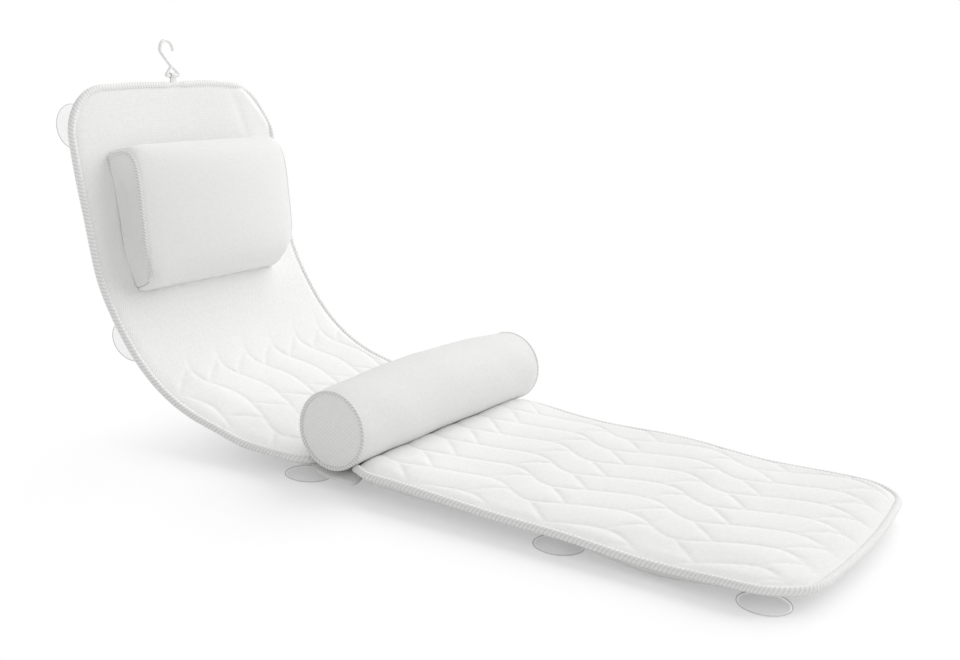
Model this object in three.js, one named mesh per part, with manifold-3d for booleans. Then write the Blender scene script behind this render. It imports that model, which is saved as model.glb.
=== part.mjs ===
// Full-body bath pillow: a quilted air-mesh mat in an upper and a leg part joined by a plain fabric
// band, with a head pillow, a loose bolster roll, ten suction cups and a hook to hang it up to dry.
// Millimetres and degrees, +Z up, +X from the head end to the feet, +Y to the sitter's left.
// Every soft layer is drawn flat, as it is cut: s runs down the mat from its top edge, y across it and
// n out of its face, with n = 0 on the centre of the edge piping. Then it is bent to the side profile.

import * as THREE from 'three';
import { mergeVertices } from 'three/addons/utils/BufferGeometryUtils.js';
import Module from 'manifold-3d';

const wasm = await Module();
wasm.setup();

// Seating gap between pieces that touch
const CLEARANCE = 0.3;

// Mat outline between the centres of its edge piping
const MAT_WIDTH = 400;
const UPPER_LENGTH = 650;
const BAND_LENGTH = 82;
const LEG_LENGTH = 533;
const TOP_CORNER = 62;
const SEAM_CORNER = 30;
const END_CORNER = 45;
const PIPING_DIAMETER = 10;

// Side profile of the upper mat from its top edge: lean from the vertical, straight runs and bends
const BACK_LEAN = 10.3;
const BACK_LENGTH = 40;
const UPPER_RADIUS = 830;
const UPPER_LEAN = 28.3;
const LUMBAR_RADIUS = 207;
const LUMBAR_LEAN = 82.5;
const SEAT_LENGTH = 112;
const FRONT_RADIUS = 160;
const FLAT_LEAN = 90;

// Mat layers, and the soft crown of the plain back
const PADDING_TOP = 2.5;
const PADDING_THICKNESS = 8;
const FACE_THICKNESS = 1.5;
const BACKING_THICKNESS = 3.2;
const BACK_CROWN = 2;
const BACK_CROWN_POWER = 4;

// Wave quilting: like lines repeat across the mat, and every other line lags along it
const QUILT_PITCH = 56;
const QUILT_LINES = 14;
const QUILT_WAVE = 170;
const QUILT_SWING = 15;
const QUILT_LAG = 60;
const QUILT_PUFF = 5.5;
const QUILT_EDGE = 4;
const QUILT_SQUEEZE = 0.7;
const UPPER_FIRST_CREST = 132;
const LEG_FIRST_CREST = 106;
const QUILT_START = 343;
const QUILT_FADE = 60;
const QUILT_END_FADE = 24;

// Fold across the lumbar bend, with both layers' ends bevelled to leave room for it
const FOLD_AT = 375;
const FOLD_BEVEL = 20;

// Plain band between the two mats
const BAND_TOP = -1;
const BAND_THICKNESS = 5;
const BAND_SIDE_INSET = 4;

// Head pillow: height along the back, width across it, and at its top and bottom its thickness and
// how far its edge stands off its back
const PILLOW_AT = 175;
const PILLOW_HEIGHT = 194;
const PILLOW_WIDTH = 314;
const PILLOW_TOP_THICKNESS = 55;
const PILLOW_BOTTOM_THICKNESS = 26;
const PILLOW_TOP_EDGE = 25;
const PILLOW_BOTTOM_EDGE = 9;
const PILLOW_CROWN = 18;
const PILLOW_FRONT_POWER = 2.8;
const PILLOW_BACK_POWER = 9;
const PILLOW_COVER = 3;
const PILLOW_PIPING = 5;
const PILLOW_GUSSET = 3;
const GUSSET_DOME = 2;
const TAPE_THICKNESS = 1.2;
const TAPE_WIDTH = 25;
const TAPE_SIDE_MARGIN = 40;
const TAPE_END_MARGIN = 55;

// Folded spacer mesh inside the head pillow
const FOLD_PLY = 8;
const FOLD_SPACE = 5;
const FOLD_PLIES = 2;
const FOLD_SIDE_MARGIN = 30;
const FOLD_END_MARGIN = 40;

// Bolster roll
const BOLSTER_DIAMETER = 98;
const BOLSTER_LENGTH = 400;
const BOLSTER_SKEW = -3.1;
const BOLSTER_COVER = 3;
const BOLSTER_PIPING = 6;
const BOLSTER_END = 4;
const BOLSTER_END_DOME = 2;
const BOLSTER_END_BREAK = 0.7;
const ROLL_PLY = 8;
const ROLL_SPACE = 5;
const ROLL_HEART = 5;

// Suction cups: in from the mat's sides, and from the edge or fold that each pair is nearest to
const CUP_SIDE_INSET = 30;
const CUP_TOP_INSET = 45;
const CUP_FOLD_INSET = 50;
const CUP_SEAM_INSET = 20;
const CUP_END_INSET = 53;
const CUP_LEG_SPACING = 237;
const CUP_DIAMETER = 59;
const CUP_HEIGHT = 15;
const CUP_RIM = 4;
const CUP_LIP = 1.2;
const CUP_HOLLOW = 6.5;
const CUP_DISH_REACH = 0.6;
const CUP_DISH_RISE = 0.72;
const CUP_FLANK_DROP = 0.62;
const CUP_SHOULDER = 16;
const CUP_NECK = 7;
const CUP_KNOB = 14;
const CUP_KNOB_HEIGHT = 3;
const EYELET_DIAMETER = 20;
const EYELET_THICKNESS = 1.5;

// Hanging hook and the webbing tab that holds it
const HOOK_WIRE = 4.6;
const HOOK_EYE_WIDTH = 28;
const HOOK_EYE_HEIGHT = 13;
const HOOK_EYE_CORNER = 3;
const HOOK_BOW_DIAMETER = 25;
const HOOK_BOW_OFFSET = -6.5;
const HOOK_BOW_HEIGHT = 35.5;
const HOOK_BOW_ANGLES = [195, 165, 135, 105, 75, 45, 15, -12];
const HOOK_WAIST_OFFSET = -4;
const HOOK_WAIST_RISE = 2.6;
const TAB_WIDTH = 11;
const TAB_NECK = 6;
const TAB_PLY = 1.3;

// Facets
const CORNER_STEPS = 4;
const LAYER_STEP = 12;
const PIPING_STEP = 24;
const QUILT_STEP = 17.5;
const PIPING_SIDES = 8;
const CORD_SIDES = 6;
const CROWN_SHARES = [-1, -0.92, -0.75, -0.4, 0, 0.4, 0.75, 0.92, 1];
const COVER_SHARES = [-1, -0.75, -0.4, 0, 0.4, 0.75, 1];
const PILLOW_POINTS = 28;
const BOLSTER_SIDES = 32;
const ROLL_STEPS = 20;
const CUP_SIDES = 12;
const TAB_STEPS = 8;
const WIRE_SIDES = 6;
const EYE_STEPS = 24;
const BOW_STEPS = 20;
const BORE_OVERRUN = 1;
const WELD_DISTANCE = 1e-4;

const PIPING_RADIUS = PIPING_DIAMETER / 2;
const LAYER_INSET = PIPING_RADIUS + CLEARANCE;
const LEG_START = UPPER_LENGTH + BAND_LENGTH;
const FACE_BOTTOM = PADDING_TOP + CLEARANCE;
const FACE_TOP = FACE_BOTTOM + FACE_THICKNESS;
const PADDING_BOTTOM = PADDING_TOP - PADDING_THICKNESS;
const BACKING_TOP = PADDING_BOTTOM - CLEARANCE;
const BACKING_BOTTOM = BACKING_TOP - BACKING_THICKNESS;
const EYELET_TOP = BACKING_BOTTOM - CLEARANCE;
const EYELET_BOTTOM = EYELET_TOP - EYELET_THICKNESS;
const CUP_TOP = EYELET_BOTTOM - CLEARANCE;
const CUP_BASE = CUP_TOP - CUP_HEIGHT;
const LOOP_TAPE_BOTTOM = FACE_TOP + BACK_CROWN + CLEARANCE;
const HOOK_TAPE_BOTTOM = LOOP_TAPE_BOTTOM + TAPE_THICKNESS + CLEARANCE;
const PILLOW_BACK = HOOK_TAPE_BOTTOM + TAPE_THICKNESS + CLEARANCE;

const upperMat = {
  start: 0,
  end: UPPER_LENGTH,
  startCorner: TOP_CORNER,
  endCorner: SEAM_CORNER,
  firstCrest: UPPER_FIRST_CREST,
};
const legMat = {
  start: LEG_START,
  end: LEG_START + LEG_LENGTH,
  startCorner: SEAM_CORNER,
  endCorner: END_CORNER,
  firstCrest: LEG_START + LEG_FIRST_CREST,
};
const cupPlaces = {
  back_top: CUP_TOP_INSET,
  back_low: FOLD_AT - CUP_FOLD_INSET,
  seat: UPPER_LENGTH - CUP_SEAM_INSET,
  leg_mid: legMat.end - CUP_END_INSET - CUP_LEG_SPACING,
  leg_end: legMat.end - CUP_END_INSET,
};

const rad = THREE.MathUtils.degToRad;

// The side profile as stretches of steady bend, each with its length and its lean at both ends
const profile = [
  { length: BACK_LENGTH, from: BACK_LEAN, to: BACK_LEAN },
  { length: UPPER_RADIUS * rad(UPPER_LEAN - BACK_LEAN), from: BACK_LEAN, to: UPPER_LEAN },
  { length: LUMBAR_RADIUS * rad(LUMBAR_LEAN - UPPER_LEAN), from: UPPER_LEAN, to: LUMBAR_LEAN },
  { length: SEAT_LENGTH, from: LUMBAR_LEAN, to: LUMBAR_LEAN },
  { length: FRONT_RADIUS * rad(FLAT_LEAN - LUMBAR_LEAN), from: LUMBAR_LEAN, to: FLAT_LEAN },
  { length: Infinity, from: FLAT_LEAN, to: FLAT_LEAN },
];

// Place and lean of the mat's centre line, s down from the top edge
function centreLine(s) {
  let x = 0;
  let z = 0;
  let left = s;
  for (const { length, from, to } of profile) {
    const run = Math.min(left, length);
    const a = rad(from);
    const b = from === to ? a : a + (rad(to - from) * run) / length;
    if (from === to) {
      x += run * Math.sin(a);
      z -= run * Math.cos(a);
    } else {
      const radius = length / rad(to - from);
      x += radius * (Math.cos(a) - Math.cos(b));
      z -= radius * (Math.sin(b) - Math.sin(a));
    }
    left -= run;
    if (left <= 0) {
      return { x, z, lean: b };
    }
  }
}

// Frame on the mat: x down it, y across it, z out of its face
function frameAt(s, y, n) {
  const { x, z, lean } = centreLine(s);
  const down = new THREE.Vector3(Math.sin(lean), 0, -Math.cos(lean));
  const across = new THREE.Vector3(0, 1, 0);
  const out = new THREE.Vector3(Math.cos(lean), 0, Math.sin(lean));
  const frame = new THREE.Matrix4().makeBasis(down, across, out);
  return frame.setPosition(x + n * out.x, y, z + n * out.z);
}

// Bends a piece drawn flat in s, y, n to the side profile
function bend(geometry) {
  const place = geometry.getAttribute('position');
  const point = new THREE.Vector3();
  for (let i = 0; i < place.count; i += 1) {
    const frame = frameAt(place.getX(i), place.getY(i), place.getZ(i));
    point.setFromMatrixPosition(frame);
    place.setXYZ(i, point.x, point.y, point.z);
  }
  return geometry;
}

// A closed body from points and triangles, turned so that its faces point out
function body(points, triangles) {
  let volume = 0;
  const [a, b, c] = [new THREE.Vector3(), new THREE.Vector3(), new THREE.Vector3()];
  for (const [i, j, k] of triangles) {
    volume += a.set(...points[i]).dot(b.set(...points[j]).cross(c.set(...points[k])));
  }
  const outward = volume > 0 ? triangles : triangles.map(([i, j, k]) => [i, k, j]);
  const geometry = new THREE.BufferGeometry();
  geometry.setAttribute('position', new THREE.Float32BufferAttribute(points.flat(), 3));
  geometry.setIndex(outward.flat());
  return geometry;
}

// A skin through rings of equal count: a closed chain, or one with both ends closed by fans
function skin(rings, closed) {
  const count = rings[0].length;
  const points = rings.flat();
  const triangles = [];
  const spans = closed ? rings.length : rings.length - 1;
  for (let i = 0; i < spans; i += 1) {
    for (let k = 0; k < count; k += 1) {
      const a = i * count + k;
      const b = i * count + ((k + 1) % count);
      const c = ((i + 1) % rings.length) * count + k;
      const d = ((i + 1) % rings.length) * count + ((k + 1) % count);
      triangles.push([a, b, d], [a, d, c]);
    }
  }
  if (!closed) {
    for (const end of [0, rings.length - 1]) {
      const middle = points.length;
      const ring = rings[end];
      points.push([0, 1, 2].map((axis) => ring.reduce((sum, p) => sum + p[axis], 0) / count));
      for (let k = 0; k < count; k += 1) {
        const a = end * count + k;
        const b = end * count + ((k + 1) % count);
        triangles.push(end === 0 ? [middle, b, a] : [middle, a, b]);
      }
    }
  }
  return body(points, triangles);
}

// Joins and cuts of closed bodies
function solid(geometry) {
  const bare = geometry.clone();
  bare.deleteAttribute('normal');
  bare.deleteAttribute('uv');
  const merged = mergeVertices(bare, WELD_DISTANCE);
  const vertProperties = new Float32Array(merged.getAttribute('position').array);
  const triVerts = new Uint32Array(merged.getIndex().array);
  return new wasm.Manifold(new wasm.Mesh({ numProp: 3, vertProperties, triVerts }));
}

function fromSolid(result) {
  const { vertProperties, triVerts } = result.getMesh();
  const geometry = new THREE.BufferGeometry();
  geometry.setAttribute('position', new THREE.BufferAttribute(vertProperties, 3));
  geometry.setIndex(new THREE.BufferAttribute(triVerts, 1));
  return geometry;
}

function cut(geometry, tools) {
  const result = tools.reduce((rest, tool) => rest.subtract(solid(tool)), solid(geometry));
  return fromSolid(result);
}

const assembly = new THREE.Group();

function addPiece(name, geometry, finish, parent = assembly) {
  const mesh = new THREE.Mesh(geometry, new THREE.MeshStandardMaterial(finish));
  mesh.name = name;
  parent.add(mesh);
}

const AIR_MESH = { color: 0xf4f4f3, roughness: 0.9 };
const SPACER_MESH = { color: 0xf0f0ee, roughness: 0.95 };
const BACKING_CLOTH = { color: 0xe9e9e8, roughness: 0.9 };
const BRAID = { color: 0xededec, roughness: 0.8 };
const CLEAR_VINYL = { color: 0xd9dcdd, roughness: 0.15 };
const WHITE_PLASTIC = { color: 0xf1f1f0, roughness: 0.3 };

// Half width of a mat's outline, drawn in by an inset, with its corners rounded
function halfWidth(mat, s, inset) {
  const full = MAT_WIDTH / 2 - inset;
  const fromStart = s - mat.start - inset;
  const fromEnd = mat.end - inset - s;
  const startRadius = mat.startCorner - inset;
  const endRadius = mat.endCorner - inset;
  if (fromStart < startRadius) {
    return full - startRadius + Math.sqrt(Math.max(0, startRadius ** 2 - (startRadius - fromStart) ** 2));
  }
  if (fromEnd < endRadius) {
    return full - endRadius + Math.sqrt(Math.max(0, endRadius ** 2 - (endRadius - fromEnd) ** 2));
  }
  return full;
}

// How far a bevelled end stands back from the fold at a height n
function foldSetback(n) {
  return CLEARANCE + Math.abs(n) * Math.tan(rad(FOLD_BEVEL));
}

// Stations down a layer: close together round the corners, evenly spaced between
function stations(mat, from, to, step) {
  const list = [];
  const startRadius = mat.startCorner - LAYER_INSET;
  const endRadius = mat.endCorner - LAYER_INSET;
  const first = from === mat.start ? from + LAYER_INSET + startRadius : from;
  const last = to === mat.end ? to - LAYER_INSET - endRadius : to;
  for (let k = 0; from === mat.start && k < CORNER_STEPS; k += 1) {
    list.push(from + LAYER_INSET + startRadius * (1 - Math.cos(rad((90 * k) / CORNER_STEPS))));
  }
  const count = Math.round((last - first) / step);
  for (let k = 0; k <= count; k += 1) {
    list.push(first + ((last - first) * k) / count);
  }
  for (let k = CORNER_STEPS - 1; to === mat.end && k >= 0; k -= 1) {
    list.push(to - LAYER_INSET - endRadius * (1 - Math.cos(rad((90 * k) / CORNER_STEPS))));
  }
  return list;
}

// One layer of a mat, with a shaped top and a flat underside, from one end or fold to the other
function layer(mat, from, to, step, bottom, topRow) {
  const list = stations(mat, from, to, step);
  const points = [];
  const triangles = [];
  const add = (s, y, n) => points.push([s, y, n]) - 1;
  const placed = (s, n) => {
    if (s === from && from === FOLD_AT) {
      return s + foldSetback(n);
    }
    return s === to && to === FOLD_AT ? s - foldSetback(n) : s;
  };
  const tops = [];
  const bottoms = [];
  list.forEach((s, i) => {
    const row = topRow(s, halfWidth(mat, s, LAYER_INSET));
    tops.push(row.map(([y, n]) => add(placed(s, n), y, n)));
    const isEnd = i === 0 || i === list.length - 1;
    const under = isEnd ? row : [row[0], row[row.length - 1]];
    bottoms.push(under.map(([y]) => add(placed(s, bottom), y, bottom)));
  });
  const last = tops[0].length - 1;
  for (let i = 0; i + 1 < list.length; i += 1) {
    for (let j = 0; j < last; j += 1) {
      triangles.push([tops[i][j], tops[i + 1][j], tops[i + 1][j + 1]]);
      triangles.push([tops[i][j], tops[i + 1][j + 1], tops[i][j + 1]]);
    }
    const [near, far] = [bottoms[i], bottoms[i + 1]];
    const [nearEnd, farEnd] = [near[near.length - 1], far[far.length - 1]];
    for (let j = 0; j + 1 < near.length; j += 1) {
      triangles.push([far[0], near[j], near[j + 1]]);
    }
    for (let j = 0; j + 1 < far.length; j += 1) {
      triangles.push([nearEnd, far[j + 1], far[j]]);
    }
    triangles.push([tops[i][0], near[0], far[0]], [tops[i][0], far[0], tops[i + 1][0]]);
    triangles.push([tops[i][last], farEnd, nearEnd], [tops[i][last], tops[i + 1][last], farEnd]);
  }
  for (const [i, turned] of [[0, false], [list.length - 1, true]]) {
    for (let j = 0; j < last; j += 1) {
      const [a, b, c, d] = [tops[i][j], tops[i][j + 1], bottoms[i][j + 1], bottoms[i][j]];
      triangles.push(turned ? [a, d, c] : [a, b, c], turned ? [a, c, b] : [a, c, d]);
    }
  }
  return bend(body(points, triangles));
}

// Flat layers have one straight row from edge to edge
function flatRow(top) {
  return (s, half) => [[-half, top], [half, top]];
}

// Plain face of the back: a soft crown that dies away to its edges
function crownedRow(s, half) {
  const rise = BACK_CROWN * THREE.MathUtils.smoothstep(s, LAYER_INSET, TOP_CORNER);
  return CROWN_SHARES.map((share) => {
    const fall = 1 - Math.abs(share) ** BACK_CROWN_POWER;
    return [share * half, FACE_TOP + rise * fall];
  });
}

// Quilted face: a sewn line in every valley, and a puff between each two lines
function quiltedRow(mat) {
  const full = MAT_WIDTH / 2 - LAYER_INSET;
  const spacing = QUILT_PITCH / 2;
  return (s, half) => {
    const rise = mat === upperMat ? THREE.MathUtils.smoothstep(s, QUILT_START, QUILT_START + QUILT_FADE) : 1;
    const toEnd = Math.min(s - mat.start, mat.end - s) - LAYER_INSET;
    const puff = QUILT_PUFF * rise * THREE.MathUtils.smoothstep(toEnd, 0, QUILT_END_FADE);
    const lines = [-full];
    for (let j = 0; j < QUILT_LINES; j += 1) {
      const lag = j % 2 === 0 ? 0 : QUILT_LAG;
      const swing = QUILT_SWING * Math.cos((2 * Math.PI * (s - mat.firstCrest - lag)) / QUILT_WAVE);
      const y = (j - (QUILT_LINES - 1) / 2) * spacing + swing;
      lines.push(THREE.MathUtils.clamp(y, QUILT_EDGE - full, full - QUILT_EDGE));
    }
    lines.push(full);
    const row = [[-half, FACE_TOP]];
    for (let j = 1; j < lines.length; j += 1) {
      const gap = lines[j] - lines[j - 1];
      const height = puff * Math.min(1, gap / spacing) ** QUILT_SQUEEZE;
      row.push([((lines[j] + lines[j - 1]) / 2) * (half / full), FACE_TOP + height]);
      row.push([lines[j] * (half / full), FACE_TOP]);
    }
    return row;
  };
}

// Piping round one end of a mat: along the right side, round two corners and back up the left side
function edgeCourse(end, direction, corner, sides) {
  const middle = end - direction * corner;
  const right = sides.map((s) => ({ s, y: -MAT_WIDTH / 2, outS: 0, outY: -1 }));
  for (let k = 0; k <= CORNER_STEPS; k += 1) {
    const angle = rad((90 * k) / CORNER_STEPS);
    right.push({
      s: middle + direction * corner * Math.sin(angle),
      y: -(MAT_WIDTH / 2 - corner + corner * Math.cos(angle)),
      outS: direction * Math.sin(angle),
      outY: -Math.cos(angle),
    });
  }
  const left = right.map(({ s, y, outS, outY }) => ({ s, y: -y, outS, outY: -outY }));
  return right.concat(left.reverse());
}

function piping(course, closed) {
  const rings = course.map(({ s, y, outS, outY }) => {
    const ring = [];
    for (let k = 0; k < PIPING_SIDES; k += 1) {
      const angle = (2 * Math.PI * k) / PIPING_SIDES;
      const reach = PIPING_RADIUS * Math.cos(angle);
      const n = PIPING_RADIUS * Math.sin(angle);
      const away = s < FOLD_AT ? -1 : 1;
      const setback = Math.abs(s - FOLD_AT) < CLEARANCE ? away * foldSetback(n) : 0;
      ring.push([s + setback + reach * outS, y + reach * outY, n]);
    }
    return ring;
  });
  return bend(skin(rings, closed));
}

// Even stations along a side, for the piping
function sideStations(from, to, step) {
  const count = Math.max(1, Math.round(Math.abs(to - from) / step));
  return Array.from({ length: count }, (_, k) => from + ((to - from) * k) / count);
}

// Tools that open a layer for a cup's neck or knob, square to the mat
function boring(s, y, diameter, from, to) {
  const tool = new THREE.CylinderGeometry(diameter / 2, diameter / 2, to - from, CUP_SIDES);
  tool.rotateX(Math.PI / 2);
  return tool.applyMatrix4(frameAt(s, y, (from + to) / 2));
}

const sideNames = { right: -1, left: 1 };
const cups = [];
for (const [place, s] of Object.entries(cupPlaces)) {
  for (const [side, sign] of Object.entries(sideNames)) {
    cups.push({ name: `${place}_${side}`, s, y: sign * (MAT_WIDTH / 2 - CUP_SIDE_INSET) });
  }
}
const facetSpread = 1 / Math.cos(Math.PI / CUP_SIDES);
const neckHole = (CUP_NECK + 2 * CLEARANCE) * facetSpread;
const knobPocket = (CUP_KNOB + 2 * CLEARANCE) * facetSpread;
const knobBottom = BACKING_TOP + CLEARANCE;
const knobTop = knobBottom + CUP_KNOB_HEIGHT;

// The three mat sections, each with a face, a padding and a backing
const quiltedUpper = quiltedRow(upperMat);
const quiltedLeg = quiltedRow(legMat);
const sections = [
  { name: 'back', mat: upperMat, from: 0, to: FOLD_AT, row: crownedRow, step: LAYER_STEP },
  { name: 'seat', mat: upperMat, from: FOLD_AT, to: upperMat.end, row: quiltedUpper, step: QUILT_STEP },
  { name: 'leg', mat: legMat, from: legMat.start, to: legMat.end, row: quiltedLeg, step: QUILT_STEP },
];
for (const { name, mat, from, to, row, step } of sections) {
  const held = cups.filter(({ s }) => s > from && s < to);
  const neckSpan = [BACKING_BOTTOM - BORE_OVERRUN, BACKING_TOP + BORE_OVERRUN];
  const knobSpan = [PADDING_BOTTOM - BORE_OVERRUN, knobTop + CLEARANCE];
  const necks = held.map(({ s, y }) => boring(s, y, neckHole, ...neckSpan));
  const knobs = held.map(({ s, y }) => boring(s, y, knobPocket, ...knobSpan));
  const padding = layer(mat, from, to, LAYER_STEP, PADDING_BOTTOM, flatRow(PADDING_TOP));
  const backing = layer(mat, from, to, LAYER_STEP, BACKING_BOTTOM, flatRow(BACKING_TOP));
  addPiece(`${name}_face_mesh`, layer(mat, from, to, step, FACE_BOTTOM, row), AIR_MESH);
  addPiece(`${name}_padding`, cut(padding, knobs), SPACER_MESH);
  addPiece(`${name}_backing`, cut(backing, necks), BACKING_CLOTH);
}

const backSides = sideStations(FOLD_AT - CLEARANCE / 2, TOP_CORNER, PIPING_STEP);
const seatSides = sideStations(FOLD_AT + CLEARANCE / 2, UPPER_LENGTH - SEAM_CORNER, PIPING_STEP);
const backCourse = edgeCourse(0, -1, TOP_CORNER, backSides);
const seatCourse = edgeCourse(UPPER_LENGTH, 1, SEAM_CORNER, seatSides);
const legCourse = [
  ...edgeCourse(legMat.start, -1, SEAM_CORNER, []),
  ...edgeCourse(legMat.end, 1, END_CORNER, []).reverse(),
];
addPiece('back_edge_piping', piping(backCourse, false), BRAID);
addPiece('seat_edge_piping', piping(seatCourse, false), BRAID);
addPiece('leg_edge_piping', piping(legCourse, true), BRAID);

// Plain band that joins the two mats and lets the leg part fold
const bandRun = BAND_LENGTH - 2 * LAYER_INSET;
const bandWidth = MAT_WIDTH - 2 * BAND_SIDE_INSET;
const band = new THREE.BoxGeometry(bandRun, bandWidth, BAND_THICKNESS);
band.translate(UPPER_LENGTH + BAND_LENGTH / 2, 0, BAND_TOP - BAND_THICKNESS / 2);
addPiece('hinge_band', bend(band), BACKING_CLOTH);

// Eyelets under the backing, and the cups whose knobs they hold
function turned(profilePoints) {
  const outline = profilePoints.map(([r, n]) => new THREE.Vector2(r, n));
  return new THREE.LatheGeometry(outline, CUP_SIDES).rotateX(Math.PI / 2);
}

const eyeletBore = neckHole / 2;
const eyeletRadius = EYELET_DIAMETER / 2;
const eyeletOutline = [
  [eyeletBore, EYELET_BOTTOM],
  [eyeletRadius - EYELET_THICKNESS / 2, EYELET_BOTTOM],
  [eyeletRadius, EYELET_TOP],
  [eyeletBore, EYELET_TOP],
  [eyeletBore, EYELET_BOTTOM],
];
const cupRadius = CUP_DIAMETER / 2;
const shoulderRadius = CUP_SHOULDER / 2;
const flankRadius = (cupRadius + shoulderRadius) / 2;
const dishRadius = cupRadius - CUP_RIM;
const flankDrop = (CUP_HEIGHT - CUP_LIP) * CUP_FLANK_DROP;
const cupOutline = [
  [0, CUP_BASE + CUP_HOLLOW],
  [dishRadius * CUP_DISH_REACH, CUP_BASE + CUP_HOLLOW * CUP_DISH_RISE],
  [dishRadius, CUP_BASE],
  [cupRadius, CUP_BASE],
  [cupRadius, CUP_BASE + CUP_LIP],
  [flankRadius, CUP_TOP - flankDrop],
  [shoulderRadius, CUP_TOP],
  [CUP_NECK / 2, CUP_TOP],
  [CUP_NECK / 2, knobBottom],
  [CUP_KNOB / 2, knobBottom],
  [CUP_KNOB / 2, knobTop - CLEARANCE],
  [0, knobTop],
];
for (const { name, s, y } of cups) {
  const seat = new THREE.Group();
  seat.applyMatrix4(frameAt(s, y, 0));
  assembly.add(seat);
  addPiece(`eyelet_${name}`, turned(eyeletOutline), WHITE_PLASTIC, seat);
  addPiece(`cup_${name}`, turned(cupOutline), CLEAR_VINYL, seat);
}

// Head pillow section in s and n: a flat back, a round front, and a full top that thins to the bottom
function pillowSection(across, inset) {
  const loop = [];
  const bulge = PILLOW_CROWN * (1 - across ** 2);
  for (let k = 0; k < PILLOW_POINTS; k += 1) {
    const angle = (2 * Math.PI * k) / PILLOW_POINTS;
    const isFront = Math.sin(angle) > 0;
    const power = isFront ? PILLOW_FRONT_POWER : PILLOW_BACK_POWER;
    const along = Math.cos(angle);
    const rise = Math.max(0, 1 - Math.abs(along) ** power) ** (1 / power);
    const share = (along + 1) / 2;
    const thickness = bulge + THREE.MathUtils.lerp(PILLOW_TOP_THICKNESS, PILLOW_BOTTOM_THICKNESS, share);
    const edge = THREE.MathUtils.lerp(PILLOW_TOP_EDGE, PILLOW_BOTTOM_EDGE, share);
    const s = PILLOW_AT + along * (PILLOW_HEIGHT / 2 - inset);
    const reach = isFront ? thickness - edge : -edge;
    const n = PILLOW_BACK + edge + rise * (reach - Math.sign(reach) * inset);
    loop.push([s, n]);
  }
  return loop;
}

const pillowHalf = PILLOW_WIDTH / 2;
const coverHalf = pillowHalf - PILLOW_PIPING - CLEARANCE;
const pillowRing = (y, inset) =>
  pillowSection(y / pillowHalf, inset).map(([s, n]) => [s, y, n]);
const coverRings = [
  ...COVER_SHARES.map((share) => pillowRing(share * coverHalf, 0)),
  ...COVER_SHARES.map((share) => pillowRing(-share * coverHalf, PILLOW_COVER)),
];
addPiece('pillow_cover', bend(skin(coverRings, true)), AIR_MESH);

const cordRadius = PILLOW_PIPING / 2;
for (const [side, sign] of Object.entries(sideNames)) {
  const cordY = sign * (pillowHalf - cordRadius);
  const cordLoop = pillowSection(1, cordRadius);
  const middle = [PILLOW_AT, PILLOW_BACK + (PILLOW_TOP_EDGE + PILLOW_BOTTOM_EDGE) / 2];
  const cordRings = cordLoop.map(([s, n]) => {
    const out = new THREE.Vector2(s - middle[0], n - middle[1]).normalize();
    return Array.from({ length: CORD_SIDES }, (_, k) => {
      const angle = (2 * Math.PI * k) / CORD_SIDES;
      const reach = cordRadius * Math.cos(angle);
      return [s + reach * out.x, cordY + cordRadius * Math.sin(angle), n + reach * out.y];
    });
  });
  addPiece(`pillow_piping_${side}`, bend(skin(cordRings, true)), BRAID);
  const panelInset = PILLOW_PIPING + CLEARANCE;
  const outer = pillowHalf - GUSSET_DOME;
  const panelRings = [
    pillowSection(1, panelInset).map(([s, n]) => [s, sign * (outer - PILLOW_GUSSET), n]),
    pillowSection(1, panelInset).map(([s, n]) => [s, sign * outer, n]),
    pillowSection(1, panelInset + GUSSET_DOME).map(([s, n]) => [s, sign * pillowHalf, n]),
  ];
  addPiece(`pillow_gusset_${side}`, bend(skin(panelRings, false)), AIR_MESH);
}

// Spacer mesh folded to and fro inside the pillow
const foldRuns = [];
for (let k = 0; k < FOLD_PLIES; k += 1) {
  const level = PILLOW_BACK + PILLOW_COVER + CLEARANCE + FOLD_PLY / 2 + k * (FOLD_PLY + FOLD_SPACE);
  const reach = PILLOW_HEIGHT / 2 - FOLD_END_MARGIN;
  const places = sideStations(PILLOW_AT - reach, PILLOW_AT + reach, LAYER_STEP).concat(PILLOW_AT + reach);
  const run = places.map((s) => new THREE.Vector2(s, level));
  foldRuns.push(...(k % 2 === 0 ? run : run.reverse()));
}

// Outline of a strip of even thickness along a course of straight runs and square turns
function stripOutline(course, thickness) {
  const sides = [[], []];
  course.forEach((point, i) => {
    const before = i > 0 ? point.clone().sub(course[i - 1]).normalize() : null;
    const after = i + 1 < course.length ? course[i + 1].clone().sub(point).normalize() : null;
    const first = before ?? after;
    const second = after ?? before;
    const miter = new THREE.Vector2(-first.y - second.y, first.x + second.x);
    miter.divideScalar(1 + first.dot(second));
    sides[0].push(point.clone().addScaledVector(miter, thickness / 2));
    sides[1].push(point.clone().addScaledVector(miter, -thickness / 2));
  });
  return sides[0].concat(sides[1].reverse());
}

const foldLength = PILLOW_WIDTH - 2 * FOLD_SIDE_MARGIN;
const foldShape = new THREE.Shape(stripOutline(foldRuns, FOLD_PLY));
const foldedCore = new THREE.ExtrudeGeometry(foldShape, { depth: foldLength, bevelEnabled: false });
foldedCore.translate(0, 0, -foldLength / 2).rotateX(Math.PI / 2);
addPiece('pillow_core', bend(foldedCore), SPACER_MESH);

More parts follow.
